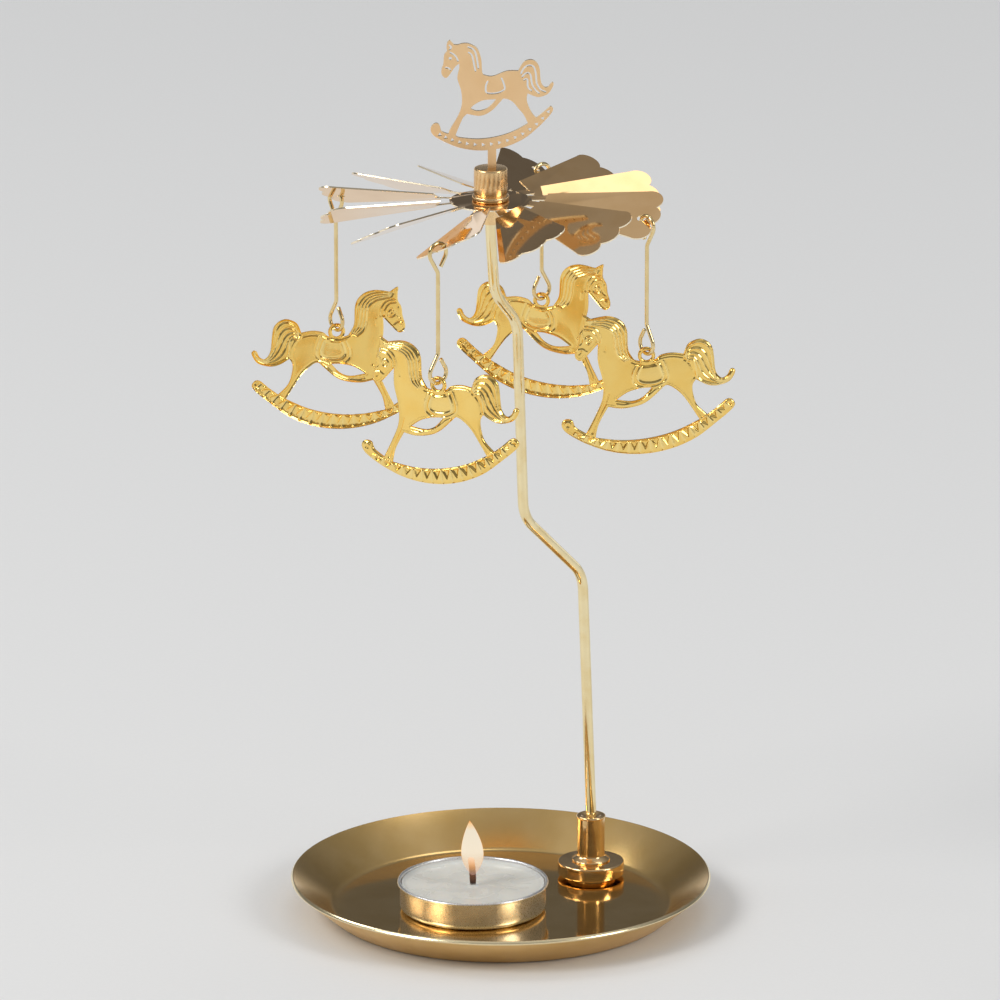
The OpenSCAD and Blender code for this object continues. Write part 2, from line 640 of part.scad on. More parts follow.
module rotor_wheel() {
    color("wheat")
        at_axis()
            translate([0, 0, rotor_z])
                difference() {
                    union() {
                        translate([0, 0, -sheet_t / 2])
                            cylinder(h = sheet_t, r = disc_r);
                        for (k = [0 : blade_count - 1])
                            rotate([0, 0, blade_dir + k * 360 / blade_count])
                                drooped(blade_droop + extra_droop(k))
                                    twisted_blade(blade_twist - extra_droop(k), k % hang_every == 0);
                    }
                    translate([0, 0, -2])
                        cylinder(h = 4, d = sleeve_d);
                }
}

module hub_cap() {
    edge = 0.5;
    waist = 0.25;
    bead_mid = bead_h / 2;
    bore_r = stem_r + run_gap;
    seat_h = 0.9;
    seat_top = needle_z + 0.1;
    tang_gap = 0.04;
    gap_w = tang_w + 2 * tang_gap;
    gap_t = figure_t + 2 * tang_gap;
    profile = concat([[0, sheet_top], [cap_r - waist, sheet_top], [bead_r, sheet_top + bead_mid - 0.4],
                      [bead_r, sheet_top + bead_mid + 0.3], [cap_r - waist, sheet_top + bead_h],
                      [cap_r, sheet_top + bead_h + waist]],
                     arc_points([cap_r - edge, cap_top - edge], edge, 0, 90, 4),
                     [[0, cap_top]]);
    color("gold")
        at_axis()
            difference() {
                union() {
                    rotate_extrude()
                        polygon(profile);
                    translate([0, 0, sleeve_low])
                        cylinder(h = sheet_top + bead_mid - sleeve_low, d = sleeve_d - 2 * fit);
                }
                translate([0, 0, sleeve_low - cut])
                    cylinder(h = seat_top - seat_h - sleeve_low + cut, r = bore_r);
                translate([0, 0, seat_top - seat_h])
                    cylinder(h = seat_h, r1 = bore_r, r2 = 0.15);
                translate([tang_shift - gap_w / 2, -gap_t / 2, cap_top - slot_depth])
                    cube([gap_w, gap_t, slot_depth + cut]);
            }
}

// Everything that is cut through the figure's sheet
module figure_cuts(thick) {
    size = figure_len / drawn_figure_len;
    smooth_plate(figure_belly, thick, size);
    smooth_plate(figure_girth, thick, size);
    bands(cut_lines, slot_w, thick, size);
    translate(size * cut_eye)
        cylinder(h = thick, r = cut_eye_r, $fn = 16);
    for (i = [0 : hole_count - 1]) {
        angle = hole_from + (hole_to - hole_from) * pow(i / (hole_count - 1), hole_ease);
        x = edge_x(figure_holes, figure_rocker_r, angle);
        translate(size * edge_point(figure_holes, figure_rocker_r, x))
            rotate([0, 0, angle + 90])
                cylinder(h = thick, r = hole_r, $fn = 3);
    }
}

module top_figure() {
    foot_z = cap_top + figure_lift;
    tang_len = figure_lift + slot_depth - 0.1;
    color("lightsalmon")
        translate([axis_x, axis_y + figure_t / 2, foot_z])
            rotate([90, 0, 0])
                union() {
                    difference() {
                        smooth_plate(figure_outline, figure_t, figure_len / drawn_figure_len);
                        translate([0, 0, -cut])
                            figure_cuts(figure_t + 2 * cut);
                    }
                    translate([tang_shift - tang_w / 2, -tang_len, 0])
                        cube([tang_w, tang_len + 1, figure_t]);
                }
}

// A loop round the origin in the XY plane, its legs meeting below it; the main
// leg turns down into the straight wire, and the other ends free
module hanger_loop() {
    leg = loop_r / tan(spread);
    free_len = leg - 1.6;
    main_start = loop_r * [cos(spread), -sin(spread)];
    main_way = [-sin(spread), -cos(spread)];
    free_start = loop_r * [-cos(spread), -sin(spread)];
    free_way = [sin(spread), -cos(spread)];
    wire_bend([0, 0], loop_r, -spread, 180 + 2 * spread, wire_d / 2);
    wire_bar(main_start, main_start + (leg - apex_cut) * main_way, wire_d / 2, bend_lap, bend_lap);
    wire_bar(free_start, free_start + free_len * free_way, wire_d / 2, bend_lap);
    wire_bend([apex_r, -loop_reach - apex_cut], apex_r, 180 - spread, spread, wire_d / 2);
}

module hanger(k) {
    place = hang_xy(k);
    color("khaki")
        translate([place[0], place[1], hinge_z])
            rotate([0, 0, hang_angle(k) + loop_yaw])
                rotate([90, 0, 0])
                    union() {
                        hanger_loop();
                        wire_bar([0, -wire_top], [0, wire_top - hang_len(k)], wire_d / 2,
                                 bend_lap, bend_lap);
                        translate([0, -hang_len(k), 0])
                            mirror([0, 1, 0])
                                hanger_loop();
                    }
}

// Three-sided studs along the rocker, each as wide as a share of it
module rocker_studs(share) {
    for (i = [0 : stud_count - 1]) {
        angle = stud_from + (stud_to - stud_from) * i / (stud_count - 1);
        x = edge_x(outer_edge, rocker_r, angle);
        low = edge_point(outer_edge, rocker_r, x);
        high = edge_point(inner_edge, rocker_r, x);
        translate(low + stud_place * (high - low))
            rotate([0, 0, angle])
                cylinder(h = relief, r1 = share * (high[1] - low[1]) * -sin(angle), r2 = 0.1, $fn = 3);
    }
}

// The plate lies in the XY plane round its eye, with its front towards +Z
module pendant_plate() {
    size = pendant_len / drawn_pendant_len;
    difference() {
        union() {
            smooth_plate(pendant_outline, pendant_t, size);
            cylinder(h = pendant_t, d = eyelet_d);
            translate([0, 0, pendant_t]) {
                smooth_plate(saddle_cloth, relief / 2, size);
                smooth_plate(saddle_seat, relief, size);
                bands(pressed_lines, line_w, relief / 2, size);
                translate(size * pressed_eye)
                    cylinder(h = relief / 2, r = pressed_eye_r, $fn = 16);
                scale([size, size, 1])
                    rocker_studs(stud_share);
            }
        }
        translate([0, 0, -cut]) {
            cylinder(h = pendant_t + 2 * cut, d = eye_d);
            smooth_plate(pendant_belly, pendant_t + 2 * cut, size);
            smooth_plate(pendant_girth, pendant_t + 2 * cut, size);
        }
        translate([0, 0, -0.01])
            smooth_plate(saddle_seat, relief / 2, size);
    }
}

module pendant(k) {
    place = hang_xy(k);
    color("gold")
        translate([place[0], place[1], eye_z(k)])
            rotate([0, 0, pendant_yaw[k]])
                rotate([90, 0, 0])
                    translate([0, 0, -pendant_t / 2])
                        pendant_plate();
}

module at_light() {
    translate([light_x, light_y, dish_t])
        children();
}

module tealight_cup() {
    rim_z = cup_h - roll_r;
    profile = concat([[0, 0]],
                     arc_points([cup_r - cup_corner, cup_corner], cup_corner, -90, 0, 4),
                     [[cup_r, rim_z], [cup_r - cup_t, rim_z]],
                     arc_points([cup_r - cup_corner, cup_corner], cup_corner - cup_t, 0, -90, 4),
                     [[0, cup_t]]);
    color("silver")
        at_light() {
            rotate_extrude($fn = 96)
                polygon(profile);
            rotate_extrude($fn = 96)
                translate([cup_r + roll_r - cup_t, rim_z])
                    circle(r = roll_r, $fn = 24);
        }
}

module tealight_wax() {
    inner_r = cup_r - cup_t;
    wax_top = cup_t + wax_h;
    profile = concat([[0, cup_t]],
                     arc_points([cup_r - cup_corner, cup_corner], cup_corner - cup_t, -90, 0, 4),
                     [[inner_r, wax_top], [0, wax_top]]);
    color("ivory")
        at_light()
            difference() {
                rotate_extrude($fn = 96)
                    polygon(profile);
                translate([0, 0, cup_t - cut])
                    cylinder(h = sustainer_t + cut, r = sustainer_r);
                translate([0, 0, cup_t])
                    cylinder(h = tube_h, r = tube_r);
                translate([0, 0, cup_t])
                    cylinder(h = wax_h + cut, d = wick_d);
            }
}

module wick_sustainer() {
    color("silver")
        at_light()
            translate([0, 0, cup_t])
                difference() {
                    union() {
                        cylinder(h = sustainer_t, r = sustainer_r);
                        cylinder(h = tube_h, r = tube_r);
                    }
                    translate([0, 0, sustainer_t])
                        cylinder(h = tube_h, d = wick_d);
                }
}

module wick() {
    color("dimgray")
        at_light()
            translate([0, 0, cup_t + sustainer_t])
                cylinder(h = wax_h - sustainer_t + wick_rise, d = wick_d, $fn = wire_fn);
}

dish();
stem_socket();
socket_screw();
stem();
rotor_wheel();
hub_cap();
top_figure();
hanger(0);  // hanger_1
hanger(1);  // hanger_2
hanger(2);  // hanger_3
hanger(3);  // hanger_4
pendant(0);  // pendant_1
pendant(1);  // pendant_2
pendant(2);  // pendant_3
pendant(3);  // pendant_4
tealight_cup();
tealight_wax();
wick_sustainer();
wick();
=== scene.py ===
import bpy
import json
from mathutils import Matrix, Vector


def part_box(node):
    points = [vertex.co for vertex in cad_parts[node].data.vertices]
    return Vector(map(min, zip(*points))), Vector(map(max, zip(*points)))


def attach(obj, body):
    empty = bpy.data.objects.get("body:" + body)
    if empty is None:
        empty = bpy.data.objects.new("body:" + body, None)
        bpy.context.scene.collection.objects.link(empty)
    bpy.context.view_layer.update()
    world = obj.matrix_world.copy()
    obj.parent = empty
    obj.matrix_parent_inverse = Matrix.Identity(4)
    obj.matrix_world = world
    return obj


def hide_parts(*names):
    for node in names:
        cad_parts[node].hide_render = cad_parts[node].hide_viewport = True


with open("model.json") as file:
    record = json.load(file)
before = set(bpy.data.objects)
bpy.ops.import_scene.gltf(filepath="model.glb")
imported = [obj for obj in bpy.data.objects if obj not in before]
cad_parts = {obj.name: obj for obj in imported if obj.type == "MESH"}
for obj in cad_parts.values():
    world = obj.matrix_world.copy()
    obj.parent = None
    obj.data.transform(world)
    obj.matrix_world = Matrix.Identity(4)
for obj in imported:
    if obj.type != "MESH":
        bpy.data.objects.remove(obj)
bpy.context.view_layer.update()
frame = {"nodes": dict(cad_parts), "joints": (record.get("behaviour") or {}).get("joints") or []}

import json
from math import asin, cos, degrees, pi, radians, sin, sqrt, tan

import bpy
import numpy as np
from mathutils import Matrix, Vector
from mathutils.geometry import delaunay_2d_cdt

mm = 0.001
scene = bpy.context.scene
nodes = frame["nodes"]
joints = {joint["name"]: joint for joint in frame["joints"]}
print("frame loaded:", len(nodes), "nodes")


def placeOf(jointName):
    return Vector(joints[jointName]["pos_m"])


def middleOf(nodeName):
    low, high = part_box(nodeName)
    return (low + high) / 2


def heightsOf(nodeName):  # lowest and highest, in millimetres
    low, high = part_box(nodeName)
    return low.z / mm, high.z / mm


def setMode(mode):
    bpy.ops.object.mode_set(mode=mode)


def selectMesh():
    bpy.ops.mesh.select_all(action="SELECT")


def deselectAll():
    if bpy.context.object and bpy.context.object.mode != "OBJECT":
        setMode("OBJECT")
    bpy.ops.object.select_all(action="DESELECT")


def makeActive(piece):
    deselectAll()
    piece.select_set(True)
    bpy.context.view_layer.objects.active = piece


def editAll(piece):
    makeActive(piece)
    setMode("EDIT")
    selectMesh()


def bakePlace(piece):  # the object goes back to the origin and its place into the mesh
    makeActive(piece)
    bpy.ops.object.transform_apply(location=True, rotation=True, scale=True)


def applyModifiers(piece):
    makeActive(piece)
    for name in [modifier.name for modifier in piece.modifiers]:
        bpy.ops.object.modifier_apply(modifier=name)


def bevelEdges(piece, width, segments, angle):  # rounds the edges that turn by more than the angle
    bevel = piece.modifiers.new("edges", "BEVEL")
    bevel.width = width * mm
    bevel.segments = segments
    bevel.limit_method = "ANGLE"
    bevel.angle_limit = radians(angle)
    applyModifiers(piece)


def applyTool(piece, operation):  # joins or cuts with the mesh made last, which is then removed
    tool = bpy.context.object
    change = piece.modifiers.new("tool", "BOOLEAN")
    change.operation = operation
    change.solver = "EXACT"
    change.object = tool
    applyModifiers(piece)
    bpy.data.objects.remove(tool)


def setMaterial(piece, material):
    piece.data.materials.clear()
    piece.data.materials.append(material)
    piece.data.polygons.foreach_set("material_index", [0] * len(piece.data.polygons))


def finishPiece(piece, angle, material, body, slot, *replaced):  # edges flatter than the angle look smooth
    makeActive(piece)
    bpy.ops.object.shade_smooth_by_angle(angle=radians(angle))
    setMaterial(piece, material)
    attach(piece, body)
    if replaced:
        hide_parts(*replaced)


def addObject(name, data):
    added = bpy.data.objects.new(name, data)
    scene.collection.objects.link(added)
    return added


def newPiece(name, points, faces):
    mesh = bpy.data.meshes.new(name)
    mesh.from_pydata(points, [], faces)
    mesh.update()
    return addObject(name, mesh)


def mergedCopy(nodeName, name):  # a solid's loose triangles joined into one skin, its flat faces whole again
    piece = addObject(name, nodes[nodeName].data.copy())
    makeActive(piece)
    bpy.ops.mesh.customdata_custom_splitnormals_clear()
    editAll(piece)
    bpy.ops.mesh.remove_doubles(threshold=0.002 * mm)
    bpy.ops.mesh.dissolve_limited(angle_limit=radians(0.3))
    setMode("OBJECT")
    return piece


def dressSolid(s, material):  # a copy of a solid with its edges rounded
    piece = mergedCopy(s["node"], s["piece"])
    bevelEdges(piece, s["bevel"], 2, s["bevelFrom"])
    finishPiece(piece, s["smooth"], material, s["body"], s["slot"], s["node"])
    print(s["piece"], "ready:", len(piece.data.polygons), "faces")


def startPoint(name, place):  # a plane merged to one point, ready to be extruded along a profile
    deselectAll()
    bpy.ops.mesh.primitive_plane_add(size=mm, location=(0, 0, 0))
    piece = bpy.context.object
    piece.name = name
    setMode("EDIT")
    selectMesh()
    bpy.ops.mesh.merge(type="CENTER")
    bpy.ops.transform.translate(value=place)
    return piece


def startRing(name, sides, radius, place, way):  # an open circle across way, ready to be extruded
    deselectAll()
    bpy.ops.mesh.primitive_circle_add(vertices=sides, radius=radius * mm, fill_type="NOTHING", location=place,
                                      rotation=way.to_track_quat("Z", "Y").to_euler())
    piece = bpy.context.object
    piece.name = name
    bakePlace(piece)
    editAll(piece)
    return piece


def leaveEdit():  # with all faces turned outwards
    bpy.ops.mesh.normals_make_consistent(inside=False)
    setMode("OBJECT")


def closeEnds():
    selectMesh()
    bpy.ops.mesh.fill_holes(sides=0)
    leaveEdit()


def extrudeBy(step):
    bpy.ops.mesh.extrude_region_move(TRANSFORM_OT_translate={"value": step})


def lathe(name, centre, profile, steps):  # profile: radius and height in millimetres, round an upright axis
    points = [Vector((centre[0] + r * mm, centre[1], z * mm)) for r, z in profile]
    piece = startPoint(name, points[0])
    for a, b in zip(points, points[1:]):
        extrudeBy(b - a)
    selectMesh()
    bpy.ops.mesh.spin(steps=steps, angle=2 * pi, center=(centre[0], centre[1], 0), axis=(0, 0, 1))
    selectMesh()
    bpy.ops.mesh.remove_doubles(threshold=0.001 * mm)
    leaveEdit()
    return piece


def arcPoints(centre, radius, start, end, steps):  # angles in degrees
    angles = [radians(start + (end - start) * i / steps) for i in range(steps + 1)]
    return [(centre[0] + radius * cos(angle), centre[1] + radius * sin(angle)) for angle in angles]


building = {}  # the node tree that make adds to


def startNodes(owner):  # for a material or the world
    owner.use_nodes = True
    building["tree"] = owner.node_tree
    return owner.node_tree


def make(kind, inputs=None, **settings):
    tree = building["tree"]
    node = tree.nodes.new("ShaderNode" + kind)
    for key, value in settings.items():
        setattr(node, key, value)
    for key, value in (inputs or {}).items():
        if isinstance(value, bpy.types.NodeSocket):
            tree.links.new(value, node.inputs[key])
        else:
            node.inputs[key].default_value = value
    return node


def newMaterial(name, metallic=1.0, **constants):
    material = bpy.data.materials.new(name)
    tree = startNodes(material)
    shader = tree.nodes["Principled BSDF"]
    shader.inputs["Metallic"].default_value = metallic
    for key, value in constants.items():
        shader.inputs[key.replace("_", " ")].default_value = value

    def plug(socket, output):
        tree.links.new(output, shader.inputs[socket])

    return material, plug, make("TexCoord").outputs["Object"]


def ramp(factor, stops):
    node = make("ValToRGB", {"Fac": factor})
    elements = node.color_ramp.elements
    while len(elements) < len(stops):
        elements.new(0.5)
    for element, (place, colour) in zip(elements, stops):
        element.position = place
        element.color = (*colour, 1)
    return node.outputs["Color"]


def shades(s, pattern, low=0.3, high=0.6):  # drifts from a piece's shade to its colour
    return ramp(pattern, [(low, s["shade"]), (high, s["colour"])])


def mixed(factor, one, other):
    return make("MixRGB", {"Fac": factor, "Color1": one, "Color2": other}).outputs["Color"]


def mapped(value, toLow, toHigh, low=0.3, high=0.7):  # a noise keeps mostly between 0.3 and 0.7
    return make("MapRange", {0: value, 1: low, 2: high, 3: toLow, 4: toHigh}).outputs[0]


def maths(operation, *values):
    return make("Math", dict(enumerate(values)), operation=operation).outputs[0]


def axisOf(vector, axis):
    return make("SeparateXYZ", {"Vector": vector}).outputs[axis]


def noise(vector, scale, detail=2.0, rough=0.5, warp=0.0):
    return make("TexNoise", {"Vector": vector, "Scale": scale, "Detail": detail, "Roughness": rough,
                             "Distortion": warp}).outputs["Fac"]


def lineNoise(along, scale, detail):
    inputs = {"W": along, "Scale": scale, "Detail": detail}
    return make("TexNoise", inputs, noise_dimensions="1D").outputs["Fac"]


def bumped(height, strength, depth, **under):  # depth in millimetres, Normal= the bump that it lies on
    inputs = {"Height": height, "Strength": strength, "Distance": depth * mm, **under}
    return make("Bump", inputs).outputs["Normal"]


cameraSettings = {"target": (-0.189 * mm, 0, 107.285 * mm), "distance": 2.4, "tilt": 16.5325, "lens": 346.66,
                  "sensor": 36, "near": 0.05, "far": 50}


def makeCamera(s):
    camera = addObject("camera", bpy.data.cameras.new("camera"))
    tilt = radians(s["tilt"])
    back = Vector((0, -cos(tilt), sin(tilt)))
    camera.location = Vector(s["target"]) + back * s["distance"]
    camera.rotation_euler = (-back).to_track_quat("-Z", "Y").to_euler()
    camera.data.lens = s["lens"]
    camera.data.sensor_width = s["sensor"]
    camera.data.clip_start = s["near"]
    camera.data.clip_end = s["far"]
    scene.camera = camera


makeCamera(cameraSettings)
print("camera ready")


studio = {
    "floorSize": 24.0, "floorDrop": 0.02, "floorColour": (0.76, 0.76, 0.755), "floorRoughness": 0.5,
    "floorGloss": 0.25, "floorGrain": 900, "grainShade": 0.985,
    "fillLight": (0.95, 0.97, 1.0), "fillStrength": 0.56, "aim": (0, 0, 0.1),
    "lights": [  # name, place, size, power, colour
        ("keyLight", (-1.75, -1.0, 1.8), 1.1, 27, (1.0, 0.98, 0.95)),
        ("sideLight", (1.75, -0.9, 1.25), 0.9, 14, (1.0, 0.98, 0.96)),
        ("rimLight", (-1.7, 0.55, 1.7), 0.9, 8, (1.0, 1.0, 1.0)),
        ("softCard", (0.50, 1.07, 2.33), 0.9, 2.6, (1.0, 0.97, 0.92)),
    ],
    # what mirrors see: sine of the height over the horizon, and grey
    "sky": [(-0.1, 0.88), (0.05, 0.88), (0.14, 0.40), (0.24, 0.10), (0.44, 0.16), (0.72, 0.28), (0.92, 0.52),
            (1.0, 0.36)],
}


def makeFloor(s):
    deselectAll()
    bpy.ops.mesh.primitive_plane_add(size=s["floorSize"], location=(0, 0, -s["floorDrop"] * mm))
    floor = bpy.context.object
    floor.name = "floor"
    bakePlace(floor)
    material, plug, coords = newMaterial("paleFloor", metallic=0, Roughness=s["floorRoughness"],
                                         Specular_IOR_Level=s["floorGloss"])
    grain = noise(coords, s["floorGrain"], 3)
    shade = tuple(c * s["grainShade"] for c in s["floorColour"])
    plug("Base Color", ramp(grain, [(0.3, shade), (0.7, s["floorColour"])]))
    setMaterial(floor, material)


def makeLights(s):
    for name, place, size, power, colour in s["lights"]:
        data = bpy.data.lights.new(name, "AREA")
        data.shape = "DISK"
        data.size = size
        data.energy = power
        data.color = colour
        light = addObject(name, data)
        light.location = place
        light.rotation_euler = (Vector(s["aim"]) - Vector(place)).to_track_quat("-Z", "Y").to_euler()


def makeWorld(s):
    world = bpy.data.worlds.new("studio")
    scene.world = world
    startNodes(world).nodes.clear()
    low, high = s["sky"][0][0], s["sky"][-1][0]
    height = mapped(axisOf(make("TexCoord").outputs["Generated"], "Z"), 0, 1, low, high)
    sky = ramp(height, [((z - low) / (high - low), (grey, grey, grey)) for z, grey in s["sky"]])
    path = make("LightPath").outputs
    shown = maths("MAXIMUM", path["Is Camera Ray"], path["Is Glossy Ray"])
    shown = maths("MAXIMUM", shown, path["Is Transmission Ray"])
    fill = make("Background", {"Color": (*s["fillLight"], 1), "Strength": s["fillStrength"]})
    view = make("Background", {"Color": sky})
    mix = make("MixShader", {0: shown, 1: fill.outputs[0], 2: view.outputs[0]})
    make("OutputWorld", {"Surface": mix.outputs[0]})


makeFloor(studio)
makeLights(studio)
makeWorld(studio)
scene.view_settings.view_transform = "Standard"
print("studio ready")


dish = {
    "rimR": 53.0, "height": 9.2, "slope": 39.5, "sheet": 0.9, "bendR": 3.0, "bendSteps": 10, "flatInset": 8,
    "rimRound": 0.16, "bossR": 6.2, "bossRise": 0.8, "bossSides": 72, "screwR": 1.6, "toolPast": 1.0,
    "steps": 224,
    # edge: a paler colour painted on the rim edge as a highlight
    "colour": (0.84, 0.58, 0.25), "shade": (0.76, 0.50, 0.18), "edge": (1.0, 0.86, 0.56),
    "floorR": 38.5, "wallR": 43.0, "rimHighlightR": 52.3, "highlightFade": 0.25, "rings": 5200.0, "cloud": 90,
    "rough": (0.07, 0.2), "outsideRough": 0.32, "ringRough": (-0.02, 0.035),  # rough: floor, wall
}


def spunGold(s):  # mirror floor, satin wall with spinning marks, duller outside, and a painted highlight: a paler colour on the rim edge
    material, plug, coords = newMaterial("spunGold")
    flat = make("CombineXYZ", {"X": axisOf(coords, "X"), "Y": axisOf(coords, "Y")}).outputs[0]
    radius = make("VectorMath", {0: flat}, operation="LENGTH").outputs["Value"]
    rings = lineNoise(radius, s["rings"], 3.0)
    facing = axisOf(make("NewGeometry").outputs["Normal"], "Z")
    wall = mapped(radius, *s["rough"], s["floorR"] * mm, s["wallR"] * mm)
    outside = mapped(facing, s["outsideRough"], 0.0, -0.1, 0.1)
    rough = maths("MAXIMUM", wall, outside)
    plug("Roughness", maths("ADD", rough, mapped(rings, *s["ringRough"])))
    # painted highlight: past this radius the rim edge takes the paler edge colour
    edge = mapped(radius, 0, 1, s["rimHighlightR"] * mm, (s["rimHighlightR"] + s["highlightFade"]) * mm)
    tone = shades(s, noise(coords, s["cloud"], 3), 0.3, 0.65)
    plug("Base Color", mixed(edge, tone, (*s["edge"], 1)))
    plug("Normal", bumped(rings, 0.1, 0.015))
    return material


def useCylinder(piece, operation, sides, radius, centre, low, high):  # joins or cuts a round, in millimetres
    deselectAll()
    place = (centre[0], centre[1], (low + high) / 2 * mm)
    bpy.ops.mesh.primitive_cylinder_add(vertices=sides, radius=radius * mm, depth=(high - low) * mm,
                                        location=place)
    applyTool(piece, operation)


def makeDish(s):
    sheet, slope = s["sheet"], s["slope"]
    outerR = s["bendR"] + sheet
    edgeH = s["height"] - sheet * cos(radians(slope))
    baseR = s["rimR"] - edgeH / tan(radians(slope))
    bend = (baseR - outerR * tan(radians(slope / 2)), outerR)
    flatR = baseR - s["flatInset"]
    profile = [(0, 0), (flatR, 0), *arcPoints(bend, outerR, -90, slope - 90, s["bendSteps"]),
               (s["rimR"], edgeH), (s["rimR"] - sheet * sin(radians(slope)), s["height"]),
               *arcPoints(bend, s["bendR"], slope - 90, -90, s["bendSteps"]), (flatR, sheet), (0, sheet)]
    piece = lathe("spun_dish", (0, 0), profile, s["steps"])
    bevelEdges(piece, s["rimRound"], 3, 40)
    bossTop = sheet + s["bossRise"]
    for operation, radius, low, high in [("UNION", s["bossR"], sheet / 2, bossTop),
                                         ("DIFFERENCE", s["bossR"] - sheet, -s["toolPast"], s["bossRise"]),
                                         ("DIFFERENCE", s["screwR"], 0, bossTop + s["toolPast"])]:
        useCylinder(piece, operation, s["bossSides"], radius, middleOf("stem_socket"), low, high)
    finishPiece(piece, 32, spunGold(s), "base", "dish_gold", "dish")


makeDish(dish)
print("dish ready")


turned = {
    "colour": (0.96, 0.68, 0.36), "shade": (0.88, 0.58, 0.27), "smudge": 260, "lines": 5200.0, "steps": 128,
    "brightShare": 0.6, "lineRough": 0.03,
    "cap": {"radius": 4.15, "edge": 0.5, "waist": 0.25, "groove": 0.21, "grooveHalf": 0.06,
            "chamfer": (0.06, 0.2), "beadR": 4.6, "beadH": 1.5, "beadRound": 0.45, "beadDrop": 0.1,
            "sleeveR": 2.13, "sleeve": 5.9, "boreR": 1.395, "seatR": 0.15, "seatDown": 3.5, "seatHeight": 0.9,
            "slotAt": 0.35, "slotWide": 2.18, "slotThick": 0.88, "slotDeep": 2.6, "dullest": 0.3},
    "socket": {"flangeR": 8.45, "flangeH": 3.5, "round": 0.45, "columnR": 3.5, "lip": 0.22, "lipH": 1.2,
               "lipRound": 0.4, "lipDrop": 0.45, "lipFlat": 0.5, "ringR": 4.85, "ringH": 1.7,
               "ringRound": 0.3, "shoulder": (0.35, 0.62), "seam": 0.02, "fillet": 0.5, "filletUp": 1.0,
               "boreR": 1.345, "grip": 9.6, "mouth": 0.7, "mouthWall": 1.1, "mouthDip": 0.12,
               "screwR": 1.5, "screwH": 5.0, "dullest": 0.15},
}


def turnedBrass(name, s, dullest):  # faint marks of the cutter run round the piece
    material, plug, coords = newMaterial(name)
    lines = lineNoise(axisOf(coords, "Z"), s["lines"], 2.0)
    smudge = noise(coords, s["smudge"], 4, 0.6)
    plug("Base Color", shades(s, smudge, 0.25, 0.6))
    rough = mapped(smudge, s["brightShare"] * dullest, dullest)
    plug("Roughness", maths("ADD", rough, mapped(lines, 0, s["lineRough"])))
    plug("Normal", bumped(lines, 0.06, 0.01))
    return material


def makeCap(s, steps, metal):
    axis = placeOf("rotor_spin")
    bottom, top = heightsOf("hub_cap")
    foot = bottom + s["sleeve"]
    bead = foot + s["beadH"]
    seat = top - s["seatDown"]
    beadIn, beadRound = s["beadR"] - s["beadRound"], s["beadRound"]
    groove = s["radius"] - s["groove"]
    inward, up = s["chamfer"]
    profile = [(0, seat), (s["seatR"], seat), (s["boreR"], seat - s["seatHeight"]), (s["boreR"], bottom),
               (s["sleeveR"], bottom), (s["sleeveR"], foot), (s["radius"] - s["waist"], foot),
               *arcPoints((beadIn, foot + beadRound), beadRound, -70, 0, 5),
               *arcPoints((beadIn, bead - beadRound - s["beadDrop"]), beadRound, 0, 70, 5),
               (groove, bead - s["grooveHalf"]), (groove, bead + s["grooveHalf"]),
               (s["radius"] - inward, bead + up), (s["radius"], bead + 2 * up),
               *arcPoints((s["radius"] - s["edge"], top - s["edge"]), s["edge"], 0, 90, 6), (0, top)]
    piece = lathe("turned_cap", axis, profile, steps)
    deselectAll()
    bpy.ops.mesh.primitive_cube_add(size=1, location=(axis.x + s["slotAt"] * mm, axis.y, top * mm),
                                    scale=(s["slotWide"] * mm, s["slotThick"] * mm, 2 * s["slotDeep"] * mm))
    applyTool(piece, "DIFFERENCE")
    finishPiece(piece, 32, metal, "rotor", "polished_brass", "hub_cap")


def makeSocket(s, steps, metal):
    base, top = heightsOf("stem_socket")
    flange = base + s["flangeH"]
    r, c, ringRound = s["round"], s["columnR"], s["ringRound"]
    inward, up = s["shoulder"]
    profile = [(0, top - s["grip"]), (s["boreR"], top - s["grip"]), (s["boreR"], top - s["mouth"]),
               (c - s["mouthWall"], top - s["mouthDip"]), (c - s["lipFlat"], top),
               *arcPoints((c + s["lip"] - s["lipRound"], top - s["lipDrop"]), s["lipRound"], 80, -60, 7),
               (c, top - s["lipH"]), (c, flange + s["ringH"] + s["filletUp"]),
               *arcPoints((c + s["fillet"], flange + s["ringH"]), s["fillet"], 180, 235, 4),
               (s["ringR"] - inward, flange + up),
               *arcPoints((s["ringR"] - ringRound, flange + ringRound), ringRound, 60, -60, 5),
               (s["ringR"], flange + s["seam"]), (s["flangeR"] - r, flange),
               *arcPoints((s["flangeR"] - r, flange - r), r, 84, 0, 5),
               *arcPoints((s["flangeR"] - r, base + r), r, 0, -90, 6), (s["screwR"], base),
               (s["screwR"], base + s["screwH"]), (0, base + s["screwH"])]
    piece = lathe("turned_socket", middleOf("stem_socket"), profile, steps)
    finishPiece(piece, 32, metal, "base", "polished_brass", "stem_socket")


for name, makePart in [("cap", makeCap), ("socket", makeSocket)]:
    makePart(turned[name], turned["steps"], turnedBrass(name + "Brass", turned, turned[name]["dullest"]))
print("socket and hub ready")


wire = {
    "bendStep": 6, "endRound": 0.22, "marks": 5200, "cloud": 220, "rough": (0.08, 0.17),
    "stem": {"colour": (0.96, 0.82, 0.50), "shade": (0.90, 0.72, 0.38), "radius": 1.325, "bendR": 10.0,
             "grip": 9.6, "needle": 3.4, "needleTip": 0.1, "below": 2.0, "socketRise": 0.6,
             "necks": [(32.2, 103.1), (11.4, 83.8), (9.2, 32.7), (1.25, 23.7)],  # out, and below the sheet
             "needleRise": 4.9, "sleeve": 5.7, "sides": 32},
    "hanger": {"colour": (0.86, 0.69, 0.37), "shade": (0.78, 0.59, 0.28), "radius": 0.5, "loopR": 2.5,
               "reach": 4.9, "apexR": 1.6, "freeShort": 1.6, "yaw": -33, "sides": 20},
}


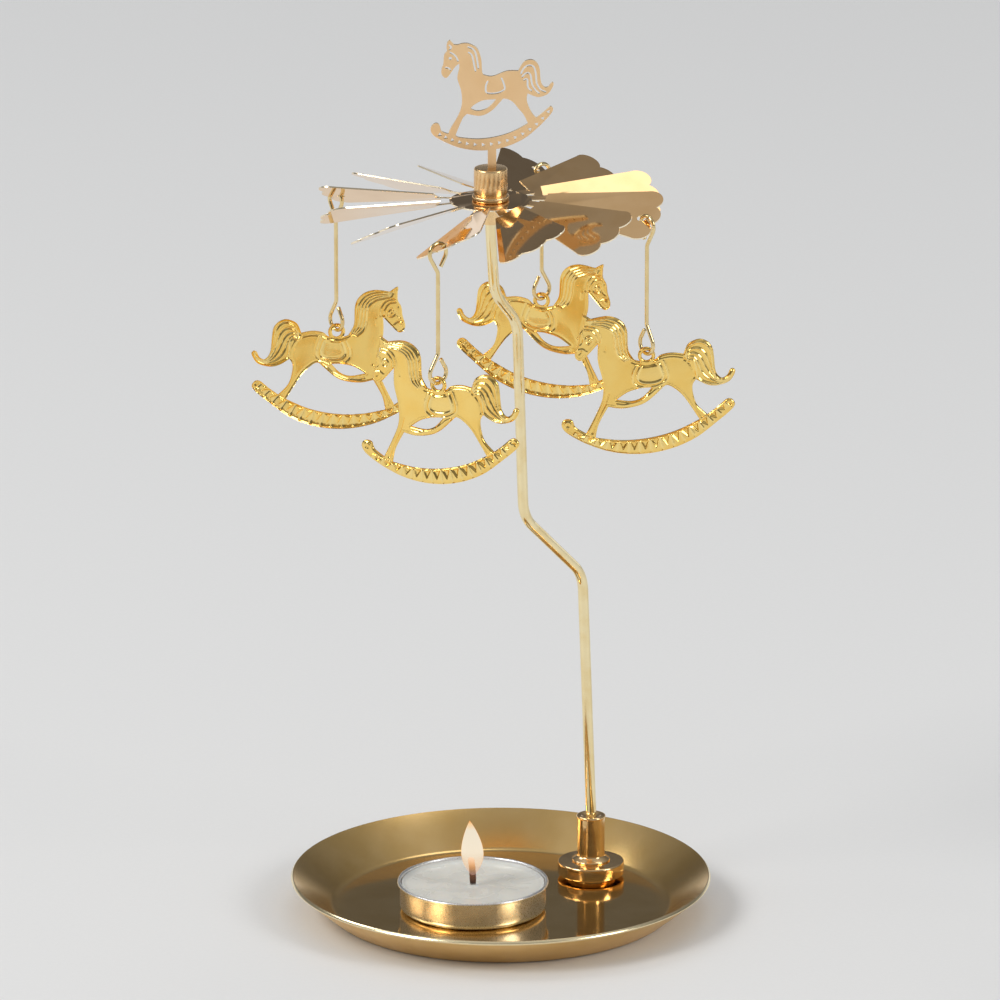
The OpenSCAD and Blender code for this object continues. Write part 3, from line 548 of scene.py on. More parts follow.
def drawnWire(name, s):  # pale, with marks along the wire
    material, plug, coords = newMaterial(name)
    along = make("Mapping", {"Vector": coords, "Scale": (1, 1, 0.04)}).outputs[0]
    marks = noise(along, wire["marks"], 2)
    plug("Base Color", shades(s, noise(coords, wire["cloud"], 3)))
    plug("Roughness", mapped(marks, *wire["rough"]))
    plug("Normal", bumped(marks, 0.05, 0.01))
    return material


def bendWire(name, s, place, way, side, moves):
    # The wire runs along way and bends toward side: moves are ("run", length), ("taper", length, share) and
    # ("bend", radius, degrees), lengths in millimetres
    axis = way.cross(side)
    piece = startRing(name, s["sides"], s["radius"], place, way)
    at = Vector(place)
    for kind, size, *more in moves:
        if kind == "bend":
            angle = more[0]
            centre = at + side * (1 if angle > 0 else -1) * size * mm
            steps = max(3, round(abs(angle) / wire["bendStep"]))
            bpy.ops.mesh.spin(steps=steps, angle=-radians(angle), center=centre, axis=axis)
            swing = Matrix.Rotation(radians(angle), 3, axis)
            at = centre + swing @ (at - centre)
            way, side = swing @ way, swing @ side
        else:
            extrudeBy(way * size * mm)
            at = at + way * size * mm
        if kind == "taper":
            bpy.ops.transform.resize(value=(more[0], more[0], more[0]), center_override=at)
    closeEnds()
    bevelEdges(piece, s["radius"] * wire["endRound"], 2, 60)
    return piece


def stemMoves(corners, s):  # a wire through corners in one plane becomes runs and bends
    ways = [(Vector(b) - Vector(a)) for a, b in zip(corners, corners[1:])]
    turns = [a.angle_signed(b) for a, b in zip(ways, ways[1:])]
    cuts = [0] + [s["bendR"] * tan(abs(turn) / 2) for turn in turns] + [0]
    moves = []
    for i, way in enumerate(ways):
        moves.append(("run", way.length - cuts[i] - cuts[i + 1]))
        if i < len(turns):
            moves.append(("bend", s["bendR"], degrees(turns[i])))
    moves.append(("taper", s["needle"], s["needleTip"] / s["radius"]))
    return moves


def makeStem(s, metal):
    socket = middleOf("stem_socket")
    axis = placeOf("rotor_spin")
    span = Vector((axis.x - socket.x, axis.y - socket.y, 0))
    reach = span.length / mm
    sheet = heightsOf("stem")[1] - s["needleRise"]
    columnTop = heightsOf("stem_socket")[1]
    corners = [(0, columnTop - s["grip"]), (0, columnTop + s["socketRise"]),
               *[(reach - out, sheet - drop) for out, drop in s["necks"]],
               (reach, sheet - s["sleeve"] - s["below"]), (reach, sheet + s["needleRise"] - s["needle"])]
    place = Vector((socket.x, socket.y, corners[0][1] * mm))
    piece = bendWire("bent_stem", s, place, Vector((0, 0, 1)), span.normalized(), stemMoves(corners, s))
    finishPiece(piece, 40, metal, "base", "stem_wire", "stem")


def makeHangers(s, metal):
    # One loop is bent from its free end round to the straight wire, and the lower one mirrors it
    spread = asin(s["loopR"] / s["reach"])
    leg = s["loopR"] / tan(spread)
    apexCut = s["apexR"] * tan(spread / 2)
    freeLeg = leg - s["freeShort"]
    loopBend = ("bend", s["loopR"], -(180 + 2 * degrees(spread)))
    apexBend = ("bend", s["apexR"], degrees(spread))
    up = Vector((0, 0, 1))
    for k in (1, 2, 3, 4):
        node = "hanger_%d" % k
        top = placeOf(node + "_swing")
        length = (top.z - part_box(node)[0].z) / mm - s["loopR"] - s["radius"]
        outward = top - placeOf("rotor_spin")
        across = Matrix.Rotation(radians(s["yaw"]), 3, "Z") @ Vector((outward.x, outward.y, 0)).normalized()
        moves = [("run", freeLeg), loopBend, ("run", leg - apexCut), apexBend,
                 ("run", length - 2 * (s["reach"] + apexCut)),
                 apexBend, ("run", leg - apexCut), loopBend, ("run", freeLeg)]
        way = across * -sin(spread) + up * cos(spread)
        side = across * -cos(spread) - up * sin(spread)
        start = top + side * s["loopR"] * mm - way * freeLeg * mm
        piece = bendWire("bent_" + node, s, start, way, side, moves)
        finishPiece(piece, 40, metal, node, "stem_wire", node)


makeStem(wire["stem"], drawnWire("stemWire", wire["stem"]))
makeHangers(wire["hanger"], drawnWire("hangerWire", wire["hanger"]))
print("wires ready")


sheets = {
    "rotor": {"node": "rotor_wheel", "piece": "bladed_rotor", "body": "rotor", "slot": "rotor_sheet",
              # edge: a paler colour painted on the cut edges as a highlight
              "colour": (0.90, 0.60, 0.31), "shade": (0.84, 0.54, 0.26), "edge": (1.0, 0.88, 0.66),
              "rough": (0.03, 0.07), "edgeRough": 0.16, "highlightFade": (0.55, 0.82), "across": "Z",
              "grain": 5000, "cloud": 120, "wave": 0.05, "bevel": 0.07, "bevelFrom": 35, "smooth": 15},
    "figure": {"node": "top_figure", "piece": "sawn_figure", "body": "rotor", "slot": "figure_sheet",
               # edge: a paler colour painted on the cut edges as a highlight
               "colour": (1.0, 0.69, 0.38), "shade": (0.97, 0.65, 0.34), "edge": (1.0, 0.86, 0.60),
               "rough": (0.28, 0.36), "edgeRough": -0.1, "highlightFade": (0.55, 0.82), "across": "Y",
               "grain": 5200, "cloud": 120, "wave": 0.02, "bevel": 0.10, "bevelFrom": 35, "smooth": 15},
}


def cutSheet(name, s):  # bright sheet whose cut edges, which face across its broad sides, are painted paler as a highlight
    material, plug, coords = newMaterial(name)
    fine = noise(coords, s["grain"], 3, 0.6)
    normal = axisOf(make("NewGeometry").outputs["True Normal"], s["across"])
    # painted highlight: faces that look across the sheet take the paler edge colour
    cutEdgeHighlight = mapped(maths("ABSOLUTE", normal), 1, 0, *s["highlightFade"])
    tone = shades(s, noise(coords, s["cloud"], 3))
    plug("Base Color", mixed(cutEdgeHighlight, tone, (*s["edge"], 1)))
    edgeRough = mapped(cutEdgeHighlight, 0, s["edgeRough"], 0, 1)
    plug("Roughness", maths("ADD", mapped(fine, *s["rough"]), edgeRough))
    swell = bumped(noise(coords, 60, 1), s["wave"], 0.4)
    plug("Normal", bumped(fine, 0.08, 0.01, Normal=swell))
    return material


for name, sheet in sheets.items():
    dressSolid(sheet, cutSheet(name + "Sheet", sheet))


saddle = [(-1.4, -2.9), (-2.1, -4.6), (-2.1, -6.1), (-0.8, -7.0), (1.8, -7.0), (3.7, -6.2), (4.1, -4.9),
          (3.6, -3.2), (3.1, -2.2)]
pendant = {  # in millimetres, round the eyelet's centre
    "sheet": 0.40, "cell": 0.15, "rowStep": 0.866, "margin": 0.55,  # the last two in cells
    "roll": 0.62, "rollRise": 0.22, "rim": (0.42, 0.26, 0.10), "crown": 0.10, "crownReach": 4.0,
    "mostRise": 0.85, "rimFade": 0.3, "lineFade": 0.4, "rockerFade": 0.42, "lineSteps": 5, "strandSteps": 40,
    "eyeR": 1.25, "eyeletR": 2.15, "yaws": (196, -26, 167, 0), "backPlane": -0.3,
    # height: the brighter colour painted on the raised lines as a highlight
    "colour": (1.0, 0.70, 0.21), "shade": (0.98, 0.64, 0.16), "height": (1.0, 0.80, 0.34),
    "cloud": 160, "grain": 6500, "rough": (0.11, 0.18),
    # each stretch starts where the one before ends, and the first where the last ends
    "outline": [
        [(3.7, 0.2), (6.4, 0.7), (9.1, 0.4)],
        [(10.1, 2.8), (11.8, 3.9), (13.4, 4.2), (15.1, 3.5), (16.2, 2.1), (16.6, 0), (17.1, -4), (18.5, -5.7),
         (19.9, -5), (20.6, -3.6), (21.4, -3.3), (21.9, -4.1), (20.9, -6.1), (19.4, -7.1), (17, -7.7),
         (14.8, -7.4), (12.2, -6.1)],
        [(11.4, -7.6), (11.6, -10), (12.6, -12.7), ("inner", 15.1)],
        [("inner", 17.3), ("inner", 19.5)],
        [(20.4, -11), (21.3, -11.3), (21.9, -12.3), (21.4, -13.4), (19.8, -15), ("outer", 17.7)],
        [("outer", x) for x in (13, 8.3, 3.6, -1.1, -5.8, -10.5, -15.2)],
        [(-17.8, -21.1), (-20, -19.6), (-20.9, -18.1), (-20.6, -16.9), (-19.5, -16.4), (-18.2, -16.8),
         (-17.4, -18.5), (-14.8, -20.1)],
        [(-12.4, -15.2), (-10.8, -11), (-10.8, -6.6), (-12, -1.5), (-12, 2.9)],
        [(-15, -0.5), (-16.2, -1.4), (-17.3, -1), (-17.7, 0.4), (-17, 3), (-16.7, 5.2), (-15.8, 7),
         (-15.8, 9.2)],
        [(-15.8, 10.4), (-13.8, 9.3)],
        [(-9.8, 10), (-6.7, 9.1), (-4.9, 6.6), (-4.5, 1.5), (-3, -1.2)],
        [(0, -1.7), (2.4, -0.9)],
    ],
    "belly": [
        [(-6, -13.6), (-2.1, -12.9), (0.6, -11.5), (3.7, -8.6)],
        [(4.9, -7.6), (6.6, -8.2), (9.3, -10.6), ("inner", 13.2)],
        [("inner", x) for x in (8, 3, -2, -7, -12.5)],
        [(-11.7, -17.6), (-9.4, -13.2)],
    ],
    "girth": [
        [(-4.5, -9.4), (-1.2, -8.4), (1.4, -8.2)],
        [(-0.8, -10.6), (-3.5, -11.7), (-7.4, -11.4)],
    ],
    "strands": [  # half width, height, how many, outer line, inner line
        (0.30, 0.34, 4,
         [(-14.6, 8.8), (-12.4, 9.2), (-9.6, 9.3), (-7.2, 8.4), (-5.6, 6.3), (-5.2, 3.8), (-4.9, 1.2),
          (-4, -0.8)],
         [(-14, 7.9), (-12.2, 7.8), (-10.2, 7.4), (-8.5, 6.3), (-7.8, 4.4), (-7.6, 2.1), (-6.8, -0.1),
          (-5.3, -1.3)]),
        (0.26, 0.32, 5,
         [(9.5, 0.2), (10.4, 2.3), (12, 3.3), (13.6, 3.4), (15, 2.4), (15.8, 0.6), (16.2, -2),
          (16.9, -4.6), (18.3, -6.1), (20.2, -5.4), (21.2, -4.1)],
         [(10, -1.3), (11.2, -0.9), (11.9, -1.5), (12.2, -2.6), (12.3, -3.9), (12.5, -5), (13, -5.9),
          (14.2, -6.7), (16.2, -7.1), (18.6, -6.9), (20.6, -5.7)]),
        (0.20, 0.26, 2,
         [(-15.2, 7.3), (-13.3, 7.1), (-12, 6.1), (-11.3, 4.4), (-11.3, 3.2)],
         [(-15.3, 6.5), (-13.8, 6.3), (-12.8, 5.4), (-12.2, 4.1), (-12.3, 3)]),
    ],
    "ridges": [  # half width, height, points
        (0.24, 0.28, [(-15.1, 3.9), (-14.7, 4.6), (-14, 4.7), (-13.4, 4), (-13.5, 3.2), (-14.3, 2.9),
                      (-15, 3.3), (-15.1, 3.9)]),
        (0.22, 0.24, [(-14.3, 3.9), (-14.1, 3.7)]),
        (0.26, 0.24, [(-17, 1.3), (-15.9, 1.5), (-14.9, 0.9)]),
        (0.24, 0.20, [(-16.4, 2.4), (-15.7, 3.2), (-15.6, 4.4), (-16, 5.4)]),
        (0.30, 0.30, [(-2.4, -2.6), (-3.2, -4.4), (-3.4, -6.2), (-2.9, -7.4), (-1.2, -8.3), (1.5, -8.1),
                      (3.8, -7.2), (5.1, -6.1), (5.3, -4.8), (4.8, -3), (4.1, -1.2)]),
        (0.34, 0.42, saddle),
        (0.28, 0.26, [(-7.2, -12.5), (-5.4, -12.7), (-2.4, -12), (0.4, -10.5), (2.3, -8.8), (3.8, -7.9)]),
        (0.26, 0.26, [(-19.2, -18.6), (-19.9, -18.3), (-19.9, -17.5), (-19.2, -17.2), (-18.7, -17.7)]),
        (0.24, 0.22, [(2.2, -1.6), (3.6, -0.9), (5.2, -0.5), (7, -0.4), (8.9, -0.7)]),
    ],
    "grooves": [
        (0.26, 0.20, [(-3.6, -1.6), (-1.6, -2.3), (0.2, -2.5), (2, -1.9)]),
        (0.28, 0.24, [(9.3, -0.8), (10.6, -1.9), (11.5, -3.6), (11.9, -5.6)]),
        (0.30, 0.26, [(-9.4, -9.6), (-10.1, -12.1), (-11.6, -15.6), (-13.3, -19.8)]),
        (0.26, 0.18, [(12, -7.2), (12.3, -9.8), (13.4, -12.4), (14.8, -14.6)]),
        (0.30, 0.22, [(20.2, -12.6), (20.9, -12.5)]),
        (0.20, 0.18, [(-16.6, 0.4), (-16.2, 0.9)]),
        (0.30, 0.12, [(-10.4, 2.4), (-10.3, 1.2)]),
    ],
    "seat": (0.14, 0.5, saddle),  # height, how far in it is reached, edge
    "arcs": {"outer": (-2.8, 3.6, 28.9), "inner": (-5.8, 14.1, 35.9)},  # centres and radii of the rocker
    "rocker": {"from": -119.2, "to": -38.0, "pits": 15, "land": 0.44, "pit": 0.46, "apex": 0.2, "openTo": 0.9,
               "half": 0.42, "pitTop": 0.93, "slopeTop": 1.1, "slopeSide": 0.8, "ridge": 0.2,
               "ridgeHalf": 0.1, "fall": 0.26, "fallTo": 0.34,
               "past": (0.4, 0.15), "ends": (0.6, 0.35)},  # past the outer and inner edge, and the end pits
}


def pressedGold(s):  # painted highlight and shade: the raised lines are painted brighter, which leaves the hollows warmer and darker
    material, plug, coords = newMaterial("pressedGold")
    fine = noise(coords, s["grain"], 3, 0.6)
    reliefHighlight = make("Attribute", attribute_name="relief").outputs["Fac"]
    tone = shades(s, noise(coords, s["cloud"], 3))
    # painted highlight: the higher the relief, the more of the bright height colour
    plug("Base Color", mixed(mapped(reliefHighlight, 0, 0.8, 0.35, 0.8), tone, (*s["height"], 1)))
    plug("Roughness", mapped(fine, *s["rough"]))
    plug("Normal", bumped(fine, 0.06, 0.01))
    return material


def onArc(s, point):  # a point named by its edge and x becomes plain x and y
    if point[0] not in s["arcs"]:
        return point
    x, y, r = s["arcs"][point[0]]
    return point[1], y - sqrt(r * r - (point[1] - x) ** 2)


def smoothLine(points, steps=12):  # the same curve through the points as the solids have
    p = np.array(points, float)
    line = []
    for i in range(len(p) - 1):
        a, b, c, d = p[max(i - 1, 0)], p[i], p[i + 1], p[min(i + 2, len(p) - 1)]
        for j in range(steps):
            t = j / steps
            line.append(0.5 * (2 * b + t * (c - a) + t * t * (2 * a - 5 * b + 4 * c - d)
                               + t ** 3 * (3 * b - a - 3 * c + d)))
    return np.array(line + [p[-1]])


def stepLengths(line):
    return np.linalg.norm(np.diff(line, axis=0), axis=1)


def evenLine(points, count):  # count points spread evenly along the smooth line
    line = smoothLine(points)
    length = np.concatenate([[0], np.cumsum(stepLengths(line))])
    places = np.linspace(0, length[-1], count)
    return np.column_stack([np.interp(places, length, line[:, 0]), np.interp(places, length, line[:, 1])])


def evenLoop(s, stretches):  # an outline cut into equal steps, its corners kept
    loop = []
    for before, stretch in zip([stretches[-1], *stretches], stretches):
        points = [onArc(s, point) for point in (before[-1], *stretch)]
        count = max(2, round(stepLengths(smoothLine(points)).sum() / s["cell"]))
        loop.append(evenLine(points, count + 1)[:-1])
    return np.vstack(loop)


def circleLoop(radius, cell):
    count = max(16, round(2 * pi * radius / cell))
    angles = [2 * pi * i / count for i in range(count)]
    return np.array([(radius * cos(angle), radius * sin(angle)) for angle in angles])


def distanceTo(points, line):  # from each point to the nearest part of a line
    best = np.full(len(points), np.inf)
    for a, b in zip(line[:-1], line[1:]):
        along = b - a
        t = np.clip(((points - a) @ along) / max(along @ along, 1e-12), 0, 1)
        best = np.minimum(best, np.linalg.norm(points - a - t[:, None] * along, axis=1))
    return best


def closed(loop):
    return np.vstack([loop, loop[:1]])


def distanceToLoops(points, loops):
    return np.min([distanceTo(points, closed(loop)) for loop in loops], axis=0)


def inside(points, loop):
    crossings = np.zeros(len(points), int)
    for a, b in zip(loop, np.roll(loop, -1, axis=0)):
        if a[1] == b[1]:
            continue
        spans = (points[:, 1] >= min(a[1], b[1])) & (points[:, 1] < max(a[1], b[1]))
        crossings += spans & (points[:, 0] < a[0] + (points[:, 1] - a[1]) * (b[0] - a[0]) / (b[1] - a[1]))
    return crossings % 2 == 1


def inPlan(points, loops):  # inside the outline and in none of its openings
    good = inside(points, loops[0])
    for hole in loops[1:]:
        good &= ~inside(points, hole)
    return good


def addEyelet(loop, s):  # the outline takes the eyelet's round where that stands out of the back
    circle = circleLoop(s["eyeletR"], s["cell"])
    arc = circle[~inside(circle, loop)]
    angle = np.degrees(np.arctan2(arc[:, 1], arc[:, 0]))
    arc = arc[np.argsort((angle + 90) % 360)]
    gone = np.where(np.linalg.norm(loop, axis=1) <= s["eyeletR"])[0]
    early, late = gone[gone < len(loop) / 2], gone[gone > len(loop) / 2]
    first = late.min() if len(late) else early.min()
    last = early.max() if len(early) else late.max()
    rest = loop[last + 1:first] if first > last else np.vstack([loop[last + 1:], loop[:first]])
    if np.linalg.norm(rest[-1] - arc[0]) > np.linalg.norm(rest[-1] - arc[-1]):
        arc = arc[::-1]
    return np.vstack([rest, arc])


def fillPlan(s, loops):  # even triangles that fill the plan between its loops
    cell = s["cell"]
    low, high = loops[0].min(0), loops[0].max(0)
    rows = np.arange(low[1], high[1], cell * s["rowStep"])
    columns = np.arange(low[0], high[0], cell)
    grid = np.array([(x + (i % 2) * cell / 2, y) for i, y in enumerate(rows) for x in columns])
    grid = grid[inPlan(grid, loops)]
    grid = grid[distanceToLoops(grid, loops) > cell * s["margin"]]
    points, edges = [], []
    for loop in loops:
        start = len(points)
        points += [Vector(p) for p in loop]
        edges += [(start + i, start + (i + 1) % len(loop)) for i in range(len(loop))]
    points += [Vector(p) for p in grid]
    made, _, faces, _, _, _ = delaunay_2d_cdt(points, edges, [], 0, 1e-6)
    plan = np.array([tuple(p) for p in made])
    faces = np.array(faces)
    faces = faces[inPlan(plan[faces].mean(1), loops)]
    a, b, c = plan[faces[:, 0]], plan[faces[:, 1]], plan[faces[:, 2]]
    turned = ((b - a)[:, 0] * (c - a)[:, 1] - (b - a)[:, 1] * (c - a)[:, 0]) < 0
    faces[turned] = faces[turned][:, ::-1]
    return plan, faces


def softStep(t):
    t = np.clip(t, 0, 1)
    return t * t * (3 - 2 * t)


def hump(distance, half):
    return np.exp(-(distance / half) ** 2)


def rockerRise(s, plan):  # three-sided pits along the inner edge, with bright ridges between them
    r = s["rocker"]
    outX, outY, outR = s["arcs"]["outer"]
    inX, inY, inR = s["arcs"]["inner"]
    toOuter = outR - np.hypot(plan[:, 0] - outX, plan[:, 1] - outY)
    toInner = np.hypot(plan[:, 0] - inX, plan[:, 1] - inY) - inR
    width = np.maximum(toOuter + toInner, 0.2)
    v = np.clip(toOuter / width, 0, 1)  # 0 at the outer edge, 1 at the inner
    angle = np.degrees(np.arctan2(plan[:, 1] - outY, plan[:, 0] - outX))
    step = (r["to"] - r["from"]) / (r["pits"] - 1)
    place = (angle - r["from"]) / step
    u = place - np.round(place)  # -0.5 to 0.5 round each pit
    openHalf = r["half"] * np.clip((v - r["apex"]) / (r["openTo"] - r["apex"]), 0, 1)
    toSide = (openHalf - np.abs(u)) * radians(step) * outR
    toTop = (r["pitTop"] - v) * width
    depth = np.clip(np.minimum(toSide * r["slopeSide"], toTop * r["slopeTop"]), 0, r["pit"])
    ridge = r["ridge"] * hump(0.5 - np.abs(u), r["ridgeHalf"])
    rise = r["land"] + ridge - depth - r["fall"] * softStep((r["fallTo"] - v) / r["fallTo"])
    on = (toOuter > -r["past"][0]) & (toInner > -r["past"][1])
    on &= (place > -r["ends"][0]) & (place < r["pits"] - r["ends"][1])
    return on, rise


def pendantRise(s, plan, loops):  # how far each point of the plan is pressed up
    edge = distanceToLoops(plan, loops)
    t = np.clip(edge / s["roll"], 0, 1)
    rise = s["rollRise"] * np.sqrt(1 - (1 - t) ** 2) + s["crown"] * softStep(edge / s["crownReach"])
    at, half, high = s["rim"]
    rise += high * hump(edge - at, half) * softStep(edge / s["rimFade"])
    lines = [(half, high, smoothLine(points, s["lineSteps"])) for half, high, points in s["ridges"]]
    for half, high, count, outer, inner in s["strands"]:
        outer, inner = evenLine(outer, s["strandSteps"]), evenLine(inner, s["strandSteps"])
        for i in range(count):
            share = i / (count - 1)
            lines.append((half, high, outer * (1 - share) + inner * share))
    tallest = np.max([high * hump(distanceTo(plan, line), half) for half, high, line in lines], axis=0)
    rise += tallest * softStep(edge / s["lineFade"])
    for half, deep, points in s["grooves"]:
        rise -= deep * hump(distanceTo(plan, smoothLine(points, s["lineSteps"])), half)
    high, reach, points = s["seat"]
    seat = smoothLine(points, s["lineSteps"])
    rise += np.where(inside(plan, seat), high * softStep(distanceTo(plan, closed(seat)) / reach), 0)
    on, studs = rockerRise(s, plan)
    rise = np.where(on, studs * softStep(edge / s["rockerFade"]), rise)
    return np.clip(rise, 0, s["mostRise"])


def pressedShell(s):  # a front and a back skin with the same relief, joined round every edge of the plan
    loops = [addEyelet(evenLoop(s, s["outline"]), s), evenLoop(s, s["belly"]), evenLoop(s, s["girth"]),
             circleLoop(s["eyeR"], s["cell"])]
    plan, faces = fillPlan(s, loops)
    rise = pendantRise(s, plan, loops)
    count = len(plan)
    back = np.column_stack([plan, rise + s["backPlane"]])
    front = np.column_stack([plan, rise + s["backPlane"] + s["sheet"]])
    shell = [tuple(f) for f in faces] + [tuple(f[::-1] + count) for f in faces]
    edges = [(f[i - 1], f[i]) for f in faces for i in range(3)]
    shared = set(edges)
    shell += [(b, a, a + count, b + count) for a, b in edges if (b, a) not in shared]
    points = [tuple(p) for p in np.vstack([front, back]) * mm]
    return points, shell, np.concatenate([rise, rise]) / s["mostRise"]


def makePendants(s):
    points, faces, relief = pressedShell(s)
    gold = pressedGold(s)
    upright = Matrix.Rotation(radians(90), 4, "X")
    for k, yaw in enumerate(s["yaws"], 1):
        node = "pendant_%d" % k
        piece = newPiece("pressed_horse_%d" % k, points, faces)
        piece.data.attributes.new("relief", "FLOAT", "POINT").data.foreach_set("value", relief)
        turn = Matrix.Rotation(radians(yaw), 4, "Z")
        piece.data.transform(Matrix.Translation(placeOf(node + "_rock")) @ turn @ upright)
        finishPiece(piece, 50, gold, node, "pendant_sheet", node)
    print("pendants ready:", len(faces), "faces each")


makePendants(pendant)


light = {
    "cup": {"radius": 18.4, "height": 7.5, "sheet": 0.16, "corner": 1.6, "rollR": 0.42, "rows": 6,
            "rings": (0, 6, 12), "steps": 192, "dent": 0.22, "dentSize": 5.5,
            "creases": 420, "grain": 4200,
            "colour": (0.88, 0.88, 0.89), "shade": (0.79, 0.79, 0.80), "rough": (0.24, 0.36)},
    "wax": {"gap": 0.12, "foilRise": 0.7, "foilReach": 1.3, "wickRise": 0.45, "wickReach": 1.6, "pool": -0.25,
            "corner": 1.4, "side": 2, "faceSteps": 40, "plateH": 0.5, "tubeShare": 0.4, "tubeH": 3.0,
            "tubeTop": 3.4, "steps": 160, "cloud": 110, "grain": 900, "rough": (0.2, 0.36),
            "colour": (0.70, 0.69, 0.63), "shade": (0.65, 0.64, 0.59)},
    "wick": {"width": 1.7, "depth": 1.1, "widenBy": 6, "ply": 0.05, "tip": 0.72, "twist": 24, "lean": -0.5,
             "sides": 20, "steps": 26, "rise": 1.2, "colourReach": 6, "plies": 700.0, "glow": 1.1,
             "pale": (0.62, 0.58, 0.52), "burnt": (0.035, 0.018, 0.012), "brown": (0.20, 0.075, 0.03),
             "ember": (1.0, 0.35, 0.05)},
    "sustainer": {"node": "wick_sustainer", "piece": "wick_holder", "body": "tealight", "slot": "candle_foil",
                  "bevel": 0.08, "bevelFrom": 40, "smooth": 35},
    "flame": {"height": 14.8, "width": 5.7, "belly": 0.42, "footCurve": 0.8, "tipCurve": 1.7, "tipFull": 0.95,
              "lean": -0.8, "start": 3.8, "steps": 40, "sides": 48, "strength": 1.0,
              "heart": [(0.0, (0.75, 0.45, 0.40)), (0.2, (0.95, 0.60, 0.30)), (0.42, (0.92, 0.80, 0.62)),
                        (0.85, (0.86, 0.76, 0.60)), (0.95, (0.95, 0.62, 0.30)), (1.0, (1.0, 0.34, 0.06))],
              "skin": [(0.0, (0.75, 0.45, 0.60)), (0.25, (1.0, 0.55, 0.25)), (0.6, (1.0, 0.66, 0.36)),
                       (0.85, (1.0, 0.42, 0.10)), (1.0, (1.0, 0.30, 0.05))]},
}


def thinFoil(s):  # soft creases that run mostly up and down, painted darker in their hollows as shade
    material, plug, coords = newMaterial("thinFoil")
    tall = make("Mapping", {"Vector": coords, "Scale": (1, 1, 0.35)}).outputs[0]
    creases = noise(tall, s["creases"], 3, 0.55, 0.6)
    fine = noise(coords, s["grain"], 3)
    # painted shade: the colour darkens where the crease bump is low
    plug("Base Color", shades(s, creases, 0.25, 0.55))
    plug("Roughness", mapped(fine, *s["rough"]))
    plug("Normal", bumped(fine, 0.1, 0.01, Normal=bumped(creases, 0.15, 0.2)))
    return material


def makeCup(s, foil):
    foot = heightsOf("tealight_cup")[0]
    r, t, c = s["radius"], s["sheet"], s["corner"]
    roll = (r + s["rollR"] - t, foot + s["height"] - s["rollR"])
    wall = roll[1] - s["rollR"] - foot - c
    heights = [foot + c + wall * i / s["rows"] for i in range(1, s["rows"] + 1)]
    profile = [*[(ring, foot) for ring in s["rings"]], *arcPoints((r - c, foot + c), c, -90, 0, 6),
               *[(r, z) for z in heights], *arcPoints(roll, s["rollR"], -95, 180, 14),
               *[(r - t, z) for z in reversed(heights)], *arcPoints((r - c, foot + c), c - t, 0, -90, 6),
               *[(ring, foot + t) for ring in reversed(s["rings"])]]
    piece = lathe("foil_cup", middleOf("tealight_cup"), profile, s["steps"])
    dents = bpy.data.textures.new("dents", "CLOUDS")
    dents.noise_scale = s["dentSize"] * mm
    dents.noise_depth = 1
    displace = piece.modifiers.new("dents", "DISPLACE")
    displace.texture = dents
    displace.strength = s["dent"] * mm
    applyModifiers(piece)
    finishPiece(piece, 50, foil, "tealight", "candle_foil", "tealight_cup")


def candleWax(s):
    material, plug, coords = newMaterial("candleWax", metallic=0, Coat_Weight=0.3, Coat_Roughness=0.15,
                                         Subsurface_Weight=0.4, Subsurface_Scale=0.004,
                                         Subsurface_Radius=(1.0, 0.8, 0.6), IOR=1.44)
    cloud = noise(coords, s["cloud"], 4, 0.55, 0.8)
    plug("Base Color", shades(s, cloud, 0.3, 0.65))
    plug("Roughness", mapped(cloud, *s["rough"]))
    plug("Normal", bumped(noise(coords, s["grain"], 3), 0.12, 0.2))
    return material


def makeWax(s):  # the surface climbs a little where it meets the foil and the wick
    def halfWidth(nodeName):
        low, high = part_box(nodeName)
        return (high.x - low.x) / 2 / mm

    base, top = heightsOf("tealight_wax")
    wickR = halfWidth("wick")
    plateR = halfWidth("wick_sustainer") + s["gap"]
    outerR = halfWidth("tealight_wax") - s["gap"]
    corner, tubeR, plateTop = s["corner"], plateR * s["tubeShare"], base + s["plateH"]
    face = []
    for i in range(s["faceSteps"] + 1):
        r = outerR + (wickR - outerR) * i / s["faceSteps"]
        pool = s["pool"] * (1 - (r / outerR) ** 2)
        atFoil = s["foilRise"] * max(0, 1 - (outerR - r) / s["foilReach"]) ** 2
        atWick = s["wickRise"] * max(0, 1 - (r - wickR) / s["wickReach"]) ** 2
        face.append((r, top + (pool + atFoil + atWick)))
    profile = [(plateR, plateTop), (plateR, base), (outerR - corner, base),
               *arcPoints((outerR - corner, base + corner), corner, -90, 0, 6), (outerR, top - s["side"]),
               *face, (wickR, top - s["side"]), (wickR, base + s["tubeTop"]), (tubeR, base + s["tubeH"]),
               (tubeR, plateTop), (plateR, plateTop)]
    piece = lathe("poured_wax", middleOf("tealight_wax"), profile, s["steps"])
    finishPiece(piece, 40, candleWax(s), "tealight", "wax", "tealight_wax")


def braidedWick(s):  # pale where it leaves the wax, burnt and glowing at the tip
    material, plug, coords = newMaterial("braidedWick", metallic=0, Roughness=0.85,
                                         Emission_Strength=s["glow"])
    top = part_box("wick")[1].z
    share = mapped(axisOf(coords, "Z"), 0, 1, top - s["colourReach"] * mm, top + s["rise"] * mm)
    slanted = make("Mapping", {"Vector": coords, "Rotation": (0.7, 0.5, 0)}).outputs[0]
    waves = {"Vector": slanted, "Scale": s["plies"], "Distortion": 2.5}
    plies = make("TexWave", waves, bands_direction="Z").outputs["Fac"]
    tone = ramp(share, [(0.0, s["pale"]), (0.08, s["burnt"]), (0.3, s["brown"]), (0.6, s["brown"]),
                        (1.0, s["burnt"])])
    plug("Base Color", mixed(mapped(plies, 0, 0.5, 0.2, 0.8), tone, (*s["burnt"], 1)))
    plug("Emission Color", ramp(share, [(0.5, (0, 0, 0)), (1.0, s["ember"])]))
    plug("Normal", bumped(plies, 0.7, 0.2))
    return material


